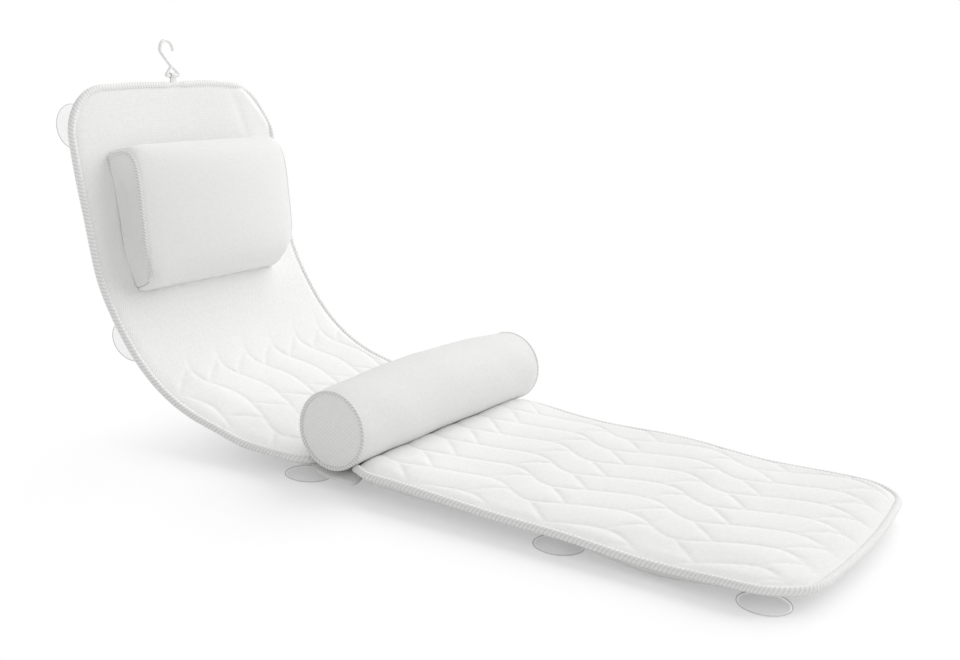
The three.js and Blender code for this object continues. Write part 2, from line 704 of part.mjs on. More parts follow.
// Hook-and-loop tapes that hold the pillow to the back
const tapeLength = PILLOW_WIDTH - 2 * TAPE_SIDE_MARGIN;
const tapeReach = PILLOW_HEIGHT / 2 - TAPE_END_MARGIN;
const tapeNames = { upper: -1, lower: 1 };
for (const [place, sign] of Object.entries(tapeNames)) {
  for (const [kind, bottom] of [['loop', LOOP_TAPE_BOTTOM], ['hook', HOOK_TAPE_BOTTOM]]) {
    const tape = new THREE.BoxGeometry(TAPE_WIDTH, tapeLength, TAPE_THICKNESS, 2, 1, 1);
    tape.translate(PILLOW_AT + sign * tapeReach, 0, bottom + TAPE_THICKNESS / 2);
    addPiece(`${kind}_tape_${place}`, bend(tape), BACKING_CLOTH);
  }
}

// Bolster: a tube of mesh, two end discs, a cord round each end and a rolled core
const bolsterRadius = BOLSTER_DIAMETER / 2;
const bolsterHalf = BOLSTER_LENGTH / 2;
const bolster = new THREE.Group();

// It lies on the band, or on the mats' seams where the gap between them is too narrow for it
const seamReach = BAND_LENGTH / 2 - bolsterHalf * Math.tan(rad(Math.abs(BOLSTER_SKEW)));
const seamRest = bolsterRadius + PIPING_RADIUS + CLEARANCE;
const onSeams = Math.sqrt(Math.max(0, seamRest ** 2 - Math.max(0, seamReach) ** 2));
const bolsterRise = Math.max(BAND_TOP + CLEARANCE + bolsterRadius, onSeams);
bolster.position.setFromMatrixPosition(frameAt(UPPER_LENGTH + BAND_LENGTH / 2, 0, bolsterRise));
bolster.rotation.z = rad(BOLSTER_SKEW);
assembly.add(bolster);

const tubeHalf = bolsterHalf - BOLSTER_PIPING - CLEARANCE;
const tubeInner = bolsterRadius - BOLSTER_COVER;
const tubeOutline = [
  [tubeInner, -tubeHalf],
  [bolsterRadius - BOLSTER_COVER / 2, -tubeHalf],
  [bolsterRadius, -tubeHalf + BOLSTER_PIPING],
  [bolsterRadius, tubeHalf - BOLSTER_PIPING],
  [bolsterRadius - BOLSTER_COVER / 2, tubeHalf],
  [tubeInner, tubeHalf],
  [tubeInner, -tubeHalf],
];
function onRoll(profilePoints) {
  return new THREE.LatheGeometry(profilePoints.map(([r, y]) => new THREE.Vector2(r, y)), BOLSTER_SIDES);
}

addPiece('bolster_cover', onRoll(tubeOutline), AIR_MESH, bolster);
const ringRadius = BOLSTER_PIPING / 2;
const discRadius = bolsterRadius - BOLSTER_PIPING - CLEARANCE;
for (const [side, sign] of Object.entries(sideNames)) {
  const cord = new THREE.TorusGeometry(bolsterRadius - ringRadius, ringRadius, CORD_SIDES, BOLSTER_SIDES);
  cord.rotateX(Math.PI / 2).translate(0, sign * (bolsterHalf - ringRadius), 0);
  addPiece(`bolster_piping_${side}`, cord, BRAID, bolster);
  const face = bolsterHalf - BOLSTER_END_DOME;
  const disc = onRoll([
    [0, face - BOLSTER_END],
    [discRadius, face - BOLSTER_END],
    [discRadius, face - BOLSTER_END_DOME],
    [discRadius * BOLSTER_END_BREAK, face + BOLSTER_END_DOME / 2],
    [0, face + BOLSTER_END_DOME],
  ]);
  disc.rotateX(sign > 0 ? 0 : Math.PI);
  addPiece(`bolster_end_${side}`, disc, AIR_MESH, bolster);
}

// Spiral of rolled mesh, its outer turn against the cover
const rollOuter = [];
const rollInner = [];
const rollRadius = tubeInner * Math.cos(Math.PI / BOLSTER_SIDES) - CLEARANCE;
const rollTurns = (rollRadius - ROLL_PLY - ROLL_HEART) / (ROLL_PLY + ROLL_SPACE);
for (let k = 0; k <= Math.round(rollTurns * ROLL_STEPS); k += 1) {
  const turns = k / ROLL_STEPS;
  const radius = rollRadius - turns * (ROLL_PLY + ROLL_SPACE);
  const angle = 2 * Math.PI * turns;
  rollOuter.push(new THREE.Vector2(radius * Math.cos(angle), radius * Math.sin(angle)));
  const inner = radius - ROLL_PLY;
  rollInner.push(new THREE.Vector2(inner * Math.cos(angle), inner * Math.sin(angle)));
}
const rollLength = 2 * (bolsterHalf - BOLSTER_END_DOME - BOLSTER_END - CLEARANCE);
const rollShape = new THREE.Shape(rollOuter.concat(rollInner.reverse()));
const roll = new THREE.ExtrudeGeometry(rollShape, { depth: rollLength, bevelEnabled: false });
roll.translate(0, 0, -rollLength / 2).rotateX(Math.PI / 2);
addPiece('bolster_core', roll, SPACER_MESH, bolster);

// Hanger at the middle of the top edge, drawn with y across the mat and z up past its top
const hanger = new THREE.Group();
const wireRadius = HOOK_WIRE / 2;
const tabBore = wireRadius + CLEARANCE;
const barRise = PIPING_RADIUS + CLEARANCE + TAB_NECK + tabBore + TAB_PLY;
const top = centreLine(0);
hanger.position.set(top.x, 0, top.z);
hanger.rotation.y = -rad(BACK_LEAN);
assembly.add(hanger);

// Webbing tab: two plies sewn together below, and a loop round the hook's bar
const tabOuter = tabBore + TAB_PLY;
const tabShape = new THREE.Shape();
const neckMeets = Math.asin(TAB_PLY / tabOuter);
tabShape.moveTo(TAB_PLY, barRise - tabOuter - TAB_NECK);
tabShape.lineTo(TAB_PLY, barRise - tabOuter * Math.cos(neckMeets));
tabShape.absarc(0, barRise, tabOuter, neckMeets - Math.PI / 2, 1.5 * Math.PI - neckMeets, false);
tabShape.lineTo(-TAB_PLY, barRise - tabOuter - TAB_NECK);
const tabHole = new THREE.Path();
tabHole.absarc(0, barRise, tabBore / Math.cos(Math.PI / (2 * TAB_STEPS)), 0, 2 * Math.PI, true);
tabShape.holes.push(tabHole);
const tabFacets = { depth: TAB_WIDTH, bevelEnabled: false, curveSegments: TAB_STEPS };
const tab = new THREE.ExtrudeGeometry(tabShape, tabFacets);
tab.translate(0, 0, -TAB_WIDTH / 2).rotateX(Math.PI / 2);
addPiece('hanger_tab', tab, BACKING_CLOTH, hanger);

// Hook: a three-cornered eye whose bar lies in the tab, and a bow that opens to the left
function wireAlong(curve, steps, closed) {
  const rings = [];
  const count = closed ? steps : steps + 1;
  for (let i = 0; i < count; i += 1) {
    const centre = curve.getPointAt(i / steps);
    const along = curve.getTangentAt(i / steps);
    const side = new THREE.Vector3(1, 0, 0);
    const up = new THREE.Vector3().crossVectors(along, side);
    rings.push(Array.from({ length: WIRE_SIDES }, (_, k) => {
      const angle = (2 * Math.PI * k) / WIRE_SIDES;
      const point = centre.clone().addScaledVector(side, wireRadius * Math.cos(angle));
      return point.addScaledVector(up, wireRadius * Math.sin(angle)).toArray();
    }));
  }
  return skin(rings, closed);
}

const inPlane = (y, rise) => new THREE.Vector3(0, y, barRise + rise);
const eyeHalf = HOOK_EYE_WIDTH / 2;
const eyeCorners = [inPlane(-eyeHalf, 0), inPlane(eyeHalf, 0), inPlane(0, HOOK_EYE_HEIGHT)];
const eye = new THREE.CurvePath();
eyeCorners.forEach((corner, i) => {
  const next = eyeCorners[(i + 1) % 3];
  const last = eyeCorners[(i + 2) % 3];
  const entry = corner.clone().lerp(last, HOOK_EYE_CORNER / corner.distanceTo(last));
  const exit = corner.clone().lerp(next, HOOK_EYE_CORNER / corner.distanceTo(next));
  const nextEntry = next.clone().lerp(corner, HOOK_EYE_CORNER / corner.distanceTo(next));
  eye.add(new THREE.QuadraticBezierCurve3(entry, corner, exit));
  eye.add(new THREE.LineCurve3(exit, nextEntry));
});
const bowRadius = HOOK_BOW_DIAMETER / 2;
const onBow = (degrees) =>
  inPlane(
    HOOK_BOW_OFFSET + bowRadius * Math.cos(rad(degrees)),
    HOOK_BOW_HEIGHT + bowRadius * Math.sin(rad(degrees)),
  );
const bowPoints = [
  inPlane(0, HOOK_EYE_HEIGHT - wireRadius),
  inPlane(HOOK_WAIST_OFFSET, HOOK_EYE_HEIGHT + HOOK_WAIST_RISE),
  ...HOOK_BOW_ANGLES.map(onBow),
];
const bow = new THREE.CatmullRomCurve3(bowPoints);
const hook = solid(wireAlong(eye, EYE_STEPS, true)).add(solid(wireAlong(bow, BOW_STEPS, false)));
addPiece('hanger_hook', fromSolid(hook), WHITE_PLASTIC, hanger);

// The part stands on its floor cups, with its origin under the middle of its box
assembly.updateMatrixWorld(true);
const box = new THREE.Box3().setFromObject(assembly, true);
const middle = box.getCenter(new THREE.Vector3());
assembly.position.set(-middle.x, -middle.y, -box.min.z);

const bathPillow = new THREE.Group();
bathPillow.add(assembly);

export default bathPillow;
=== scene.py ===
import math

import bmesh
import bpy
import numpy as np
from mathutils import Matrix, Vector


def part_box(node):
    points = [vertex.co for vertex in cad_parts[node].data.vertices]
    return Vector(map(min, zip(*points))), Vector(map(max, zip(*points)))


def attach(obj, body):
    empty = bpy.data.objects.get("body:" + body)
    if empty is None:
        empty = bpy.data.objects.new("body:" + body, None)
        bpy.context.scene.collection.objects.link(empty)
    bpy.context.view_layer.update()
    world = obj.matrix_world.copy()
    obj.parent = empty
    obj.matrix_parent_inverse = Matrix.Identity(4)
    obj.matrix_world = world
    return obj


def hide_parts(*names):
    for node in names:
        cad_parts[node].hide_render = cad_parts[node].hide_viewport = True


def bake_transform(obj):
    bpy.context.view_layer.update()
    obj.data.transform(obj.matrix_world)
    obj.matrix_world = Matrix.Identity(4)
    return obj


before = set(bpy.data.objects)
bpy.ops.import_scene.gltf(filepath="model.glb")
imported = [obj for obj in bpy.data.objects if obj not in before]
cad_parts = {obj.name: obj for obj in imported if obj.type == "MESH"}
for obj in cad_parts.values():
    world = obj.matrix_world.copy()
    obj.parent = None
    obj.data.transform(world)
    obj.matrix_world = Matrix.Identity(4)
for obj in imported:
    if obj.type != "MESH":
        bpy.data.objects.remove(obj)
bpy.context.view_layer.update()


# Upper mat face: one length of white polyester air mesh, from the head end to the seam at the seat's front.
# It lies plain over the back, and from the small of the back down it is quilted through its spacer padding in
# waves. Its edge is sewn to the backing inside a braided cord.

MM = 0.001
MAT_HALF = 200.0
UPPER_MAT = (0.0, 650.0, 62.0, 30.0)  # start and end down the mat, then the corner radius at each
SIDE_PROFILE = ((40, 10.3, 10.3), (260.75, 10.3, 28.3), (195.82, 28.3, 82.5), (112, 82.5, 82.5),
                (20.94, 82.5, 90), (2000, 90, 90))  # each stretch's length, and its lean at both ends


def side_profile(s):
    """Place and lean of the mat's middle, s mm down from its top edge. A straight run goes x += ds sin a and
    z -= ds cos a, and in a steady bend the lean a grows evenly along the stretch."""
    lengths, first, last = np.array(SIDE_PROFILE).T
    first, last = np.radians(first), np.radians(last)
    starts = np.concatenate([[0], np.cumsum(lengths)[:-1]])
    turn = np.where(first == last, 1e-9, (last - first) / lengths)

    def run(ds, lean, rate):
        end = lean + rate * ds
        return (np.cos(lean) - np.cos(end)) / rate, -(np.sin(end) - np.sin(lean)) / rate, end

    dx, dz, _ = run(lengths, first, turn)
    x0, z0 = np.cumsum(dx) - dx, np.cumsum(dz) - dz
    i = np.clip(np.searchsorted(starts, s, side="right") - 1, 0, len(starts) - 1)
    x, z, lean = run(s - starts[i], first[i], turn[i])
    return x0[i] + x, z0[i] + z, lean


MAT_END = 1265.0
PIPING_RADIUS = 5.0
foot_low, foot_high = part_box("leg_edge_piping")
end_x, end_z, _ = side_profile(np.array([MAT_END]))
foot_middle = (foot_low.z + foot_high.z) / 2
TOP_EDGE = np.array([foot_high.x / MM - PIPING_RADIUS - end_x[0], foot_middle / MM - end_z[0]])  # x and z


def on_mat(s, y, n):
    """Points in metres of places in mm: s down the mat, y across it and n out of its middle."""
    s, y, n = np.broadcast_arrays(np.asarray(s, float), y, n)
    x, z, lean = side_profile(s)
    x, z = x + n * np.cos(lean) + TOP_EDGE[0], z + n * np.sin(lean) + TOP_EDGE[1]
    return np.stack([x, y, z], -1) * MM


def smooth(value, low, high):
    """Runs from 0 at low to 1 at high as 3t^2 - 2t^3."""
    t = np.clip((value - low) / (high - low), 0, 1)
    return t * t * (3 - 2 * t)


def quarter_round(inside, reach):
    """Rises from 0 at an edge to 1 at reach inside it, as a quarter circle."""
    return np.sqrt(1 - (1 - np.clip(inside / reach, 0, 1)) ** 2)


def edge_distance(mat, s, y):
    """How far a place is inside a mat's outline, a rectangle with its own corner radius at each end."""
    start, end, first, last = mat
    radius = np.where(s < (start + end) / 2, first, last)
    out_s = np.abs(s - (start + end) / 2) - (end - start) / 2 + radius
    out_y = np.abs(y) - MAT_HALF + radius
    corner = np.hypot(np.maximum(out_s, 0), np.maximum(out_y, 0))
    return radius - corner - np.minimum(np.maximum(out_s, out_y), 0)


def mat_grid(mat, inset, step):
    """Places on a mat drawn in by an inset: rows down it, close together round the corners, each of even
    columns between the corner arcs."""
    start, end, first, last = mat
    r0, r1 = first - inset, last - inset
    arc = 1 - np.cos(np.radians(np.linspace(0, 90, 14)))
    body = np.linspace(start + first, end - last, int((end - last - start - first) / step) + 1)
    s = np.concatenate([start + inset + r0 * arc[:-1], body, (end - inset - r1 * arc)[:-1][::-1]])
    from_start = np.clip((start + first - s) / r0, 0, 1)
    from_end = np.clip((s - end + last) / r1, 0, 1)
    half = MAT_HALF - inset - r0 * (1 - np.sqrt(1 - from_start**2)) - r1 * (1 - np.sqrt(1 - from_end**2))
    share = np.linspace(-1, 1, int(2 * MAT_HALF / step) + 1)
    return np.broadcast_to(s[:, None], (len(s), len(share))), half[:, None] * share


def ripple(a, b, seed, longest, shortest, count=9):
    """Soft unevenness of cloth, about -1 to 1: a sum of plane waves with seeded turns, lengths and phases."""
    rng = np.random.default_rng(seed)
    angle, phase = rng.uniform(0, 2 * np.pi, (2, count))
    rate = 2 * np.pi / rng.uniform(shortest, longest, count)
    total = np.zeros(np.broadcast(a, b).shape)
    for turn, shift, k in zip(angle, phase, rate):
        total = total + np.sin(k * (a * np.cos(turn) + b * np.sin(turn)) + shift)
    return total / math.sqrt(count)


QUILT_CREASE = 0.9  # depth of a sewn line in the cloth
QUILT_PUFF = 1.0  # rise of the padding between two lines
UPPER_WAVES = {"pitch": 57.0, "length": 174.0, "swing": 18.0, "lean": -0.34, "crest": 472.0, "cross": 548.0,
               "shift": -16.4, "drift": -0.12}


def quilting(s, y, waves):
    """Height of the quilting, and the distance d to the nearest sewn line. The first lines swing down the
    mat a pitch apart, by the cosine of an angle led on by lean (1 - cos). A second line between each two
    runs on the one, crosses to the other and comes back: its share across is 0.33 + 0.8 cos, cut off at 0
    and 1. The cloth rises from a line as crease (1 - exp(-d / 2.4)), and between two, at the share u, by
    puff 4 u (1 - u)."""
    angle = 2 * np.pi * (s - waves["crest"]) / waves["length"]
    swung = waves["swing"] * np.cos(angle + waves["lean"] * (1 - np.cos(angle)))
    first = waves["shift"] + waves["pitch"] * np.arange(-6, 7) + (swung + waves["drift"] * s)[..., None]
    over = np.clip(0.334 + 0.795 * np.cos(2 * np.pi * (s - waves["cross"]) / waves["length"]), 0, 1)
    second = first[..., :-1] + waves["pitch"] * over[..., None]
    lines = np.sort(np.concatenate([first, second], -1), axis=-1)
    at = ((lines <= y[..., None]).sum(-1) - 1)[..., None]
    low = np.take_along_axis(lines, at, -1)[..., 0]
    gap = np.take_along_axis(lines, at + 1, -1)[..., 0] - low
    u = np.clip((y - low) / gap, 0, 1)
    seam = np.minimum(u, 1 - u) * gap
    puff = QUILT_PUFF * np.minimum(1, 2 * gap / waves["pitch"]) * 4 * u * (1 - u)
    return QUILT_CREASE * (1 - np.exp(-seam / 2.4)) + puff, seam


scene = bpy.context.scene


def placed(name, data):
    """A new object of this data, in the scene."""
    made = bpy.data.objects.new(name, data)
    scene.collection.objects.link(made)
    return made


def mesh_piece(name, material, grids, cuts, close_rows=False, close_columns=True, held=None):
    """One object of a material from grids of points: neighbours make four-sided faces, a closed direction
    joins its last row or column to its first, and points that meet are welded. Cuts are the cloth's own
    measure, kept as UV. A simulation leaves held points in place."""
    points, faces, corners = [], [], []
    count = 0
    for grid, cut in zip(grids, cuts):
        rows, columns = grid.shape[:2]
        i = np.arange(rows if close_rows else rows - 1)[:, None]
        k = np.arange(columns if close_columns else columns - 1)[None, :]
        ends = [(i, k), (i, k + 1), (i + 1, k + 1), (i + 1, k)]
        quads = np.stack([(a % rows) * columns + b % columns + np.zeros_like(i + k) for a, b in ends], -1)
        points.append(grid.reshape(-1, 3))
        faces.append(quads.reshape(-1, 4) + count)
        corners.append(np.stack([cut[a, b] for a, b in ends], 2).reshape(-1, 2))
        count += rows * columns
    mesh = bpy.data.meshes.new(name)
    mesh.from_pydata(np.concatenate(points).tolist(), [], np.concatenate(faces).tolist())
    layer = mesh.uv_layers.new(name="cut")
    layer.data.foreach_set("uv", np.concatenate(corners).astype(np.float32).ravel())
    if held is not None:
        mark = mesh.attributes.new("held", "FLOAT", "POINT")
        mark.data.foreach_set("value", np.concatenate([h.ravel() for h in held]).astype(np.float32))
    shell = bmesh.new()
    shell.from_mesh(mesh)
    bmesh.ops.remove_doubles(shell, verts=shell.verts, dist=2e-6)
    bmesh.ops.recalc_face_normals(shell, faces=shell.faces)
    shell.to_mesh(mesh)
    shell.free()
    mesh.validate()
    mesh.polygons.foreach_set("use_smooth", np.ones(len(mesh.polygons), bool))
    mesh.update()
    mesh.materials.append(material)
    return placed(name, mesh)


def layered(name, material, flat, laid, levels):
    """A closed form on the mat: a sheet at each of two levels, which meet at the rim, over the laid places.
    The flat places are the cloth's own measure."""
    cut = np.stack(np.broadcast_arrays(*flat), -1) * MM
    sheets = [on_mat(*laid, level) for level in levels]
    return mesh_piece(name, material, sheets, [cut, cut], close_columns=False)


def add(tree, kind, settings=None, *ordered, **named):
    """Adds one shader node, sets its properties, of which a lone word is its operation, and fills its
    sockets in order or by name with values or links. Returns its first output in use."""
    made = tree.nodes.new("ShaderNode" + kind)
    chosen = {"operation": settings} if isinstance(settings, str) else settings or {}
    for key, value in chosen.items():
        setattr(made, key, value)
    sockets = [*zip(made.inputs, ordered), *((made.inputs[k.replace("_", " ")], v) for k, v in named.items())]
    for socket, value in sockets:
        if isinstance(value, bpy.types.NodeSocket):
            tree.links.new(value, socket)
        elif value is not None:
            socket.default_value = value
    return next((socket for socket in made.outputs if socket.enabled), None)


def linear(code):
    """A hex sRGB colour as linear red, green, blue and alpha."""
    parts = [int(code[i:i + 2], 16) / 255 for i in (1, 3, 5)]
    return (*(c / 12.92 if c <= 0.04045 else ((c + 0.055) / 1.055) ** 2.4 for c in parts), 1.0)


def bare_material(name):
    """A material with no nodes yet, and its node tree."""
    material = bpy.data.materials.new(name)
    material.use_nodes = True
    material.node_tree.nodes.clear()
    return material, material.node_tree


def air_mesh(name, thread, hole, cell, depth, turns=(0, 60, 120)):
    """Polyester air mesh, knitted with small holes: a sum of cosine waves at these turns on the cloth's own
    measure, cell metres apart, drawn coarser than the real knit so that it shows."""
    material, tree = bare_material(name)
    cut = add(tree, "UVMap", {"uv_map": "cut"})
    knit = None
    for turn in turns:
        rate = 2 * math.pi / cell
        along = (rate * math.cos(math.radians(turn)), rate * math.sin(math.radians(turn)), 0)
        phase = add(tree, "VectorMath", "DOT_PRODUCT", cut, along)
        wave = add(tree, "Math", "COSINE", phase)
        knit = wave if knit is None else add(tree, "Math", "ADD", knit, wave)
    opened = add(tree, "MapRange", {"interpolation_type": "SMOOTHSTEP"}, knit,
                 0.2 * len(turns), 0.9 * len(turns), 0, 1)
    fleck = add(tree, "TexNoise", {"noise_dimensions": "2D"}, cut, Scale=180.0, Detail=3.0)
    cloud = add(tree, "MapRange", None, fleck, 0.3, 0.7, 0.0, 0.3)
    shade = add(tree, "Math", "MAXIMUM", opened, cloud)
    colour = add(tree, "Mix", {"data_type": "RGBA"}, Factor=shade, A=linear(thread), B=linear(hole))
    sunk = add(tree, "Math", "MULTIPLY", opened, -1.0)
    relief = add(tree, "Bump", None, Strength=0.6, Distance=depth, Height=sunk)
    cloth = add(tree, "BsdfPrincipled", None, Base_Color=colour, Roughness=0.88,
                Normal=relief, Sheen_Weight=0.12, Sheen_Roughness=0.5, Specular_IOR_Level=0.3)
    add(tree, "OutputMaterial", None, cloth)
    return material


mat_mesh = air_mesh("air_mesh_mat", "#f8f8f7", "#e6e6e5", 0.0028, 0.0002)
QUILT_START = (350.0, 420.0)  # where the quilting begins, and where it is full
QUILT_LIFT = 3.6  # how much higher the face is where it is quilted
FACE_INSET = 2.0  # how far inside the edge cord's middle the cloth ends
FACE_STEP = 2.3  # spacing of its mesh
FACE_SEAM = 0.4  # level of its sewn edge
FACE_RISE = 3.8  # rise of its top, and depth of its underside, from there
FACE_DEPTH = 5.4
BACK_CROWN = 2.0
TOP_DRAWN = 4.0  # the departures of upper_lie
CORNER_SUNK = 5.0
CORNER_FALLEN = 11.0
SIDE_BENT = 8.0
SIDE_SAG = 5.0
SIDE_RAISED = 3.0


def upper_lie(s, y):
    """How the hung mat departs from its even bend, in mm down it, across it and out of it, and where its
    side is slack: the top edge is drawn up, half as far at the hook, and sinks at its far corner, which
    falls back. Each side bends back below the pillow, sags before the floor cups and is raised over
    them."""
    beside_hook = 0.5 + 0.5 * smooth(np.abs(y), 9, 90)
    drawn = -TOP_DRAWN * beside_hook * np.cos(np.pi * y / 420) ** 2 * (1 - smooth(s, 0, 110))
    sunk = CORNER_SUNK * smooth(y, 40, 190) * (1 - smooth(s, 0, 120))
    fallen = -CORNER_FALLEN * smooth(y - MAT_HALF - s, -70, -34)
    side = smooth(np.abs(y), 75, 205)
    bent = -SIDE_BENT * side * np.exp(-((s - 250) / 60) ** 2)
    slack = side * np.exp(-((s - 545) / 40) ** 2)
    raised = SIDE_RAISED * smooth(np.abs(y), 175, 205) * smooth(s, 585, 625)
    return drawn + sunk, 0 * y, fallen + bent - SIDE_SAG * slack + raised, 0.35 * slack


def mat_cover(name, mat, waves, start, lie):
    """Closed padded form of a mat's face: a quilted upper sheet that rises from the edge as a quarter
    round, and a lower sheet under the padding. Cloth before the quilting's start is crowned and softly
    folded, with a crease at the far top corner."""
    s, y = mat_grid(mat, FACE_INSET, FACE_STEP)
    inside = edge_distance(mat, s, y) - FACE_INSET
    rise = quarter_round(inside, 16)
    puff, seam = quilting(s, y, waves)
    sewn = smooth(s, *start) if start else 1.0
    plump = 1 + 0.15 * ripple(s, y, 3, 190, 70)
    pucker = 0.25 * np.exp(-seam / 5) * ripple(s, 0.25 * y, 5, 15, 8) * smooth(seam, 0, 2)
    shoulder = smooth(inside / (70 - 50 * smooth(y, 60, 160)), 0.05, 1)
    quilted = QUILT_LIFT * shoulder + (puff * plump + pucker) * smooth(inside, 1, 22)
    top = FACE_SEAM + FACE_RISE * rise + sewn * quilted
    if start:
        crown = BACK_CROWN * (1 - np.abs(y / MAT_HALF) ** 4) * smooth(s, 5, 62)
        folds = 0.6 * ripple(0.35 * s + 0.2 * y, y - 0.3 * s, 11, 170, 80)
        crease = np.exp(-(((y - 112 - 0.35 * s) / 11) ** 2)) * smooth(s, 0, 20) * (1 - smooth(s, 50, 110))
        top = top + (crown + folds - crease) * (1 - sewn) * rise
    down, across, out, _ = lie(s, y)
    levels = (top + out, FACE_SEAM - FACE_DEPTH * rise + out)
    return layered(name, mat_mesh, (s, y), (s + down, y + across), levels)


upper_face = mat_cover("upper_mat_face", UPPER_MAT, UPPER_WAVES, QUILT_START, upper_lie)
FOLD_BEGINS, FOLD_ENDS = on_mat([420.0, 330.0], 0.0, 0.0)
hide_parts("back_face_mesh", "back_padding", "seat_face_mesh", "seat_padding")
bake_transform(upper_face)


# Upper mat backing: plain white polyester cloth under the padding, drawn in by the same quilting, so it
# bulges a little below the cord between the sewn lines, and most where the mat is slack.

def woven_cloth(name, warp, weft, thread, depth):
    """Plain-weave polyester: the product of two sine waves on the cloth's own measure, with a faint
    unevenness in the thread."""
    material, tree = bare_material(name)
    cut = add(tree, "UVMap", {"uv_map": "cut"})
    sines = []
    for across in add(tree, "SeparateXYZ", None, cut).node.outputs[:2]:
        beat = add(tree, "Math", "MULTIPLY", across, math.pi / thread)
        sines.append(add(tree, "Math", "SINE", beat))
    weave = add(tree, "Math", "MULTIPLY", sines[0], sines[1])
    fleck = add(tree, "TexNoise", {"noise_dimensions": "2D"}, cut, Scale=260.0, Detail=2.0)
    share = add(tree, "MapRange", None, weave, -1.0, 1.0, 0.0, 0.7)
    mixed = add(tree, "Math", "MULTIPLY", share, fleck)
    colour = add(tree, "Mix", {"data_type": "RGBA"}, Factor=mixed, A=linear(warp), B=linear(weft))
    relief = add(tree, "Bump", None, Strength=0.5, Distance=depth, Height=weave)
    cloth = add(tree, "BsdfPrincipled", None, Base_Color=colour, Roughness=0.85,
                Normal=relief, Sheen_Weight=0.1, Specular_IOR_Level=0.3)
    add(tree, "OutputMaterial", None, cloth)
    return material


backing_cloth = woven_cloth("polyester_backing", "#f4f4f3", "#e2e2e1", 0.0016, 0.0001)
BACKING_STEP = 4.5
BACKING_SEAM = -0.2  # level of its sewn edge
BACKING_TOP = 5.2  # depth of its upper side, and of its underside, below that seam
BACKING_DEPTH = 8.6
BACKING_SLACK = 7.0  # how much deeper it hangs where the mat is slack
BACKING_DRAWN = 1.4  # how far the sewn lines draw it in


def mat_backing(name, mat, waves, start, lie):
    """Closed form of a mat's backing: a thin layer on the mat's outline whose underside bulges as a quarter
    round, less along the sewn lines and more where the mat is slack."""
    s, y = mat_grid(mat, FACE_INSET, BACKING_STEP)
    inside = edge_distance(mat, s, y) - FACE_INSET
    _, seam = quilting(s, y, waves)
    sewn = smooth(s, *start) if start else 1.0
    drawn = BACKING_DRAWN * sewn * np.exp(-seam / 6) * smooth(inside, 2, 20)
    down, across, out, slack = lie(s, y)
    bulge = BACKING_DEPTH + BACKING_SLACK * slack + 0.25 * ripple(s, y, 21, 160, 60)
    upper = BACKING_SEAM - BACKING_TOP * quarter_round(inside, 16)
    lower = BACKING_SEAM - bulge * quarter_round(inside, 9) + drawn
    return layered(name, backing_cloth, (s, y), (s + down, y + across), (upper + out, lower + out))


upper_backing = mat_backing("upper_mat_backing", UPPER_MAT, UPPER_WAVES, QUILT_START, upper_lie)
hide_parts("back_backing", "seat_backing")
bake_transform(upper_backing)


# Upper mat edge cord: a 10 mm cord of white yarn, braided in a herringbone and sewn over the raw edges of
# the face, padding and backing all the way round.

def outline_path(mat, step):
    """A mat's outline as places and outward directions, an even step apart: four straight sides, and a
    quarter circle at each corner."""
    start, end, first, last = mat
    parts = []
    for s, side, radius, turn in ((start + first, -1, first, 180), (end - last, -1, last, -90),
                                  (end - last, 1, last, 0), (start + first, 1, first, 90)):
        angle = np.radians(np.linspace(turn, turn + 90, max(3, int(radius * 1.57 / step))))
        out = np.stack([np.cos(angle), np.sin(angle)], -1)
        parts.append(np.hstack([(s, side * (MAT_HALF - radius)) + radius * out, out]))
    joined = []
    for part, following in zip(parts, parts[1:] + parts[:1]):
        gap = np.linalg.norm(following[0, :2] - part[-1, :2])
        share = np.linspace(0, 1, max(2, int(gap / step)))[1:-1, None]
        joined += [part, part[-1] * (1 - share) + following[0] * share]
    return np.concatenate(joined)


CHEVRON_TOP = 0.22
CHEVRON_SLANT = 3.0


def herringbone(along, turns, pitch):
    """Relief of a herringbone braid, -1 to 1: a cosine along the cord whose phase grows by the slant times
    the turn away from the cord's upper line."""
    away = np.abs((turns - CHEVRON_TOP + 0.5) % 1 - 0.5)
    return np.cos(2 * np.pi * (along / pitch + CHEVRON_SLANT * away))


def braid(name, pale, groove_shade, pitch):
    """White yarn braid, with painted shade between the herringbone's stitches, which show their fine yarns.
    """
    material, tree = bare_material(name)
    cut = add(tree, "UVMap", {"uv_map": "cut"})
    along, turns, _ = add(tree, "SeparateXYZ", None, cut).node.outputs
    from_top = add(tree, "Math", "SUBTRACT", turns, CHEVRON_TOP)
    away = add(tree, "Math", "PINGPONG", from_top, 0.5)
    lay = add(tree, "Math", "MULTIPLY", away, 2 * math.pi * CHEVRON_SLANT)
    phase = add(tree, "Math", "MULTIPLY_ADD", along, 2 * math.pi / pitch, lay)
    stitch = add(tree, "Math", "COSINE", phase)
    yarn = add(tree, "Math", "MULTIPLY", phase, 5.0)
    fine = add(tree, "Math", "SINE", yarn)
    # painted shade: the colour darkens in the grooves between the stitches
    sunk = add(tree, "MapRange", {"interpolation_type": "SMOOTHSTEP"}, stitch, 0.2, -0.95, 0.0, 1.0)
    colour = add(tree, "Mix", {"data_type": "RGBA"}, Factor=sunk, A=linear(pale), B=linear(groove_shade))
    relief = add(tree, "Bump", None, Strength=0.3, Distance=0.0002, Height=fine)
    cloth = add(tree, "BsdfPrincipled", None, Base_Color=colour, Roughness=0.75,
                Normal=relief, Sheen_Weight=0.1, Specular_IOR_Level=0.35)
    add(tree, "OutputMaterial", None, cloth)
    return material


EDGE_PITCH = 5.0
# the second colour is the painted shade between the stitches
edge_braid = braid("edge_braid", "#f7f7f6", "#e6e6e5", EDGE_PITCH * MM)


def length_along(line):
    """Length so far at each point of a line."""
    return np.concatenate([[0], np.cumsum(np.linalg.norm(np.diff(line, axis=0), axis=1))])


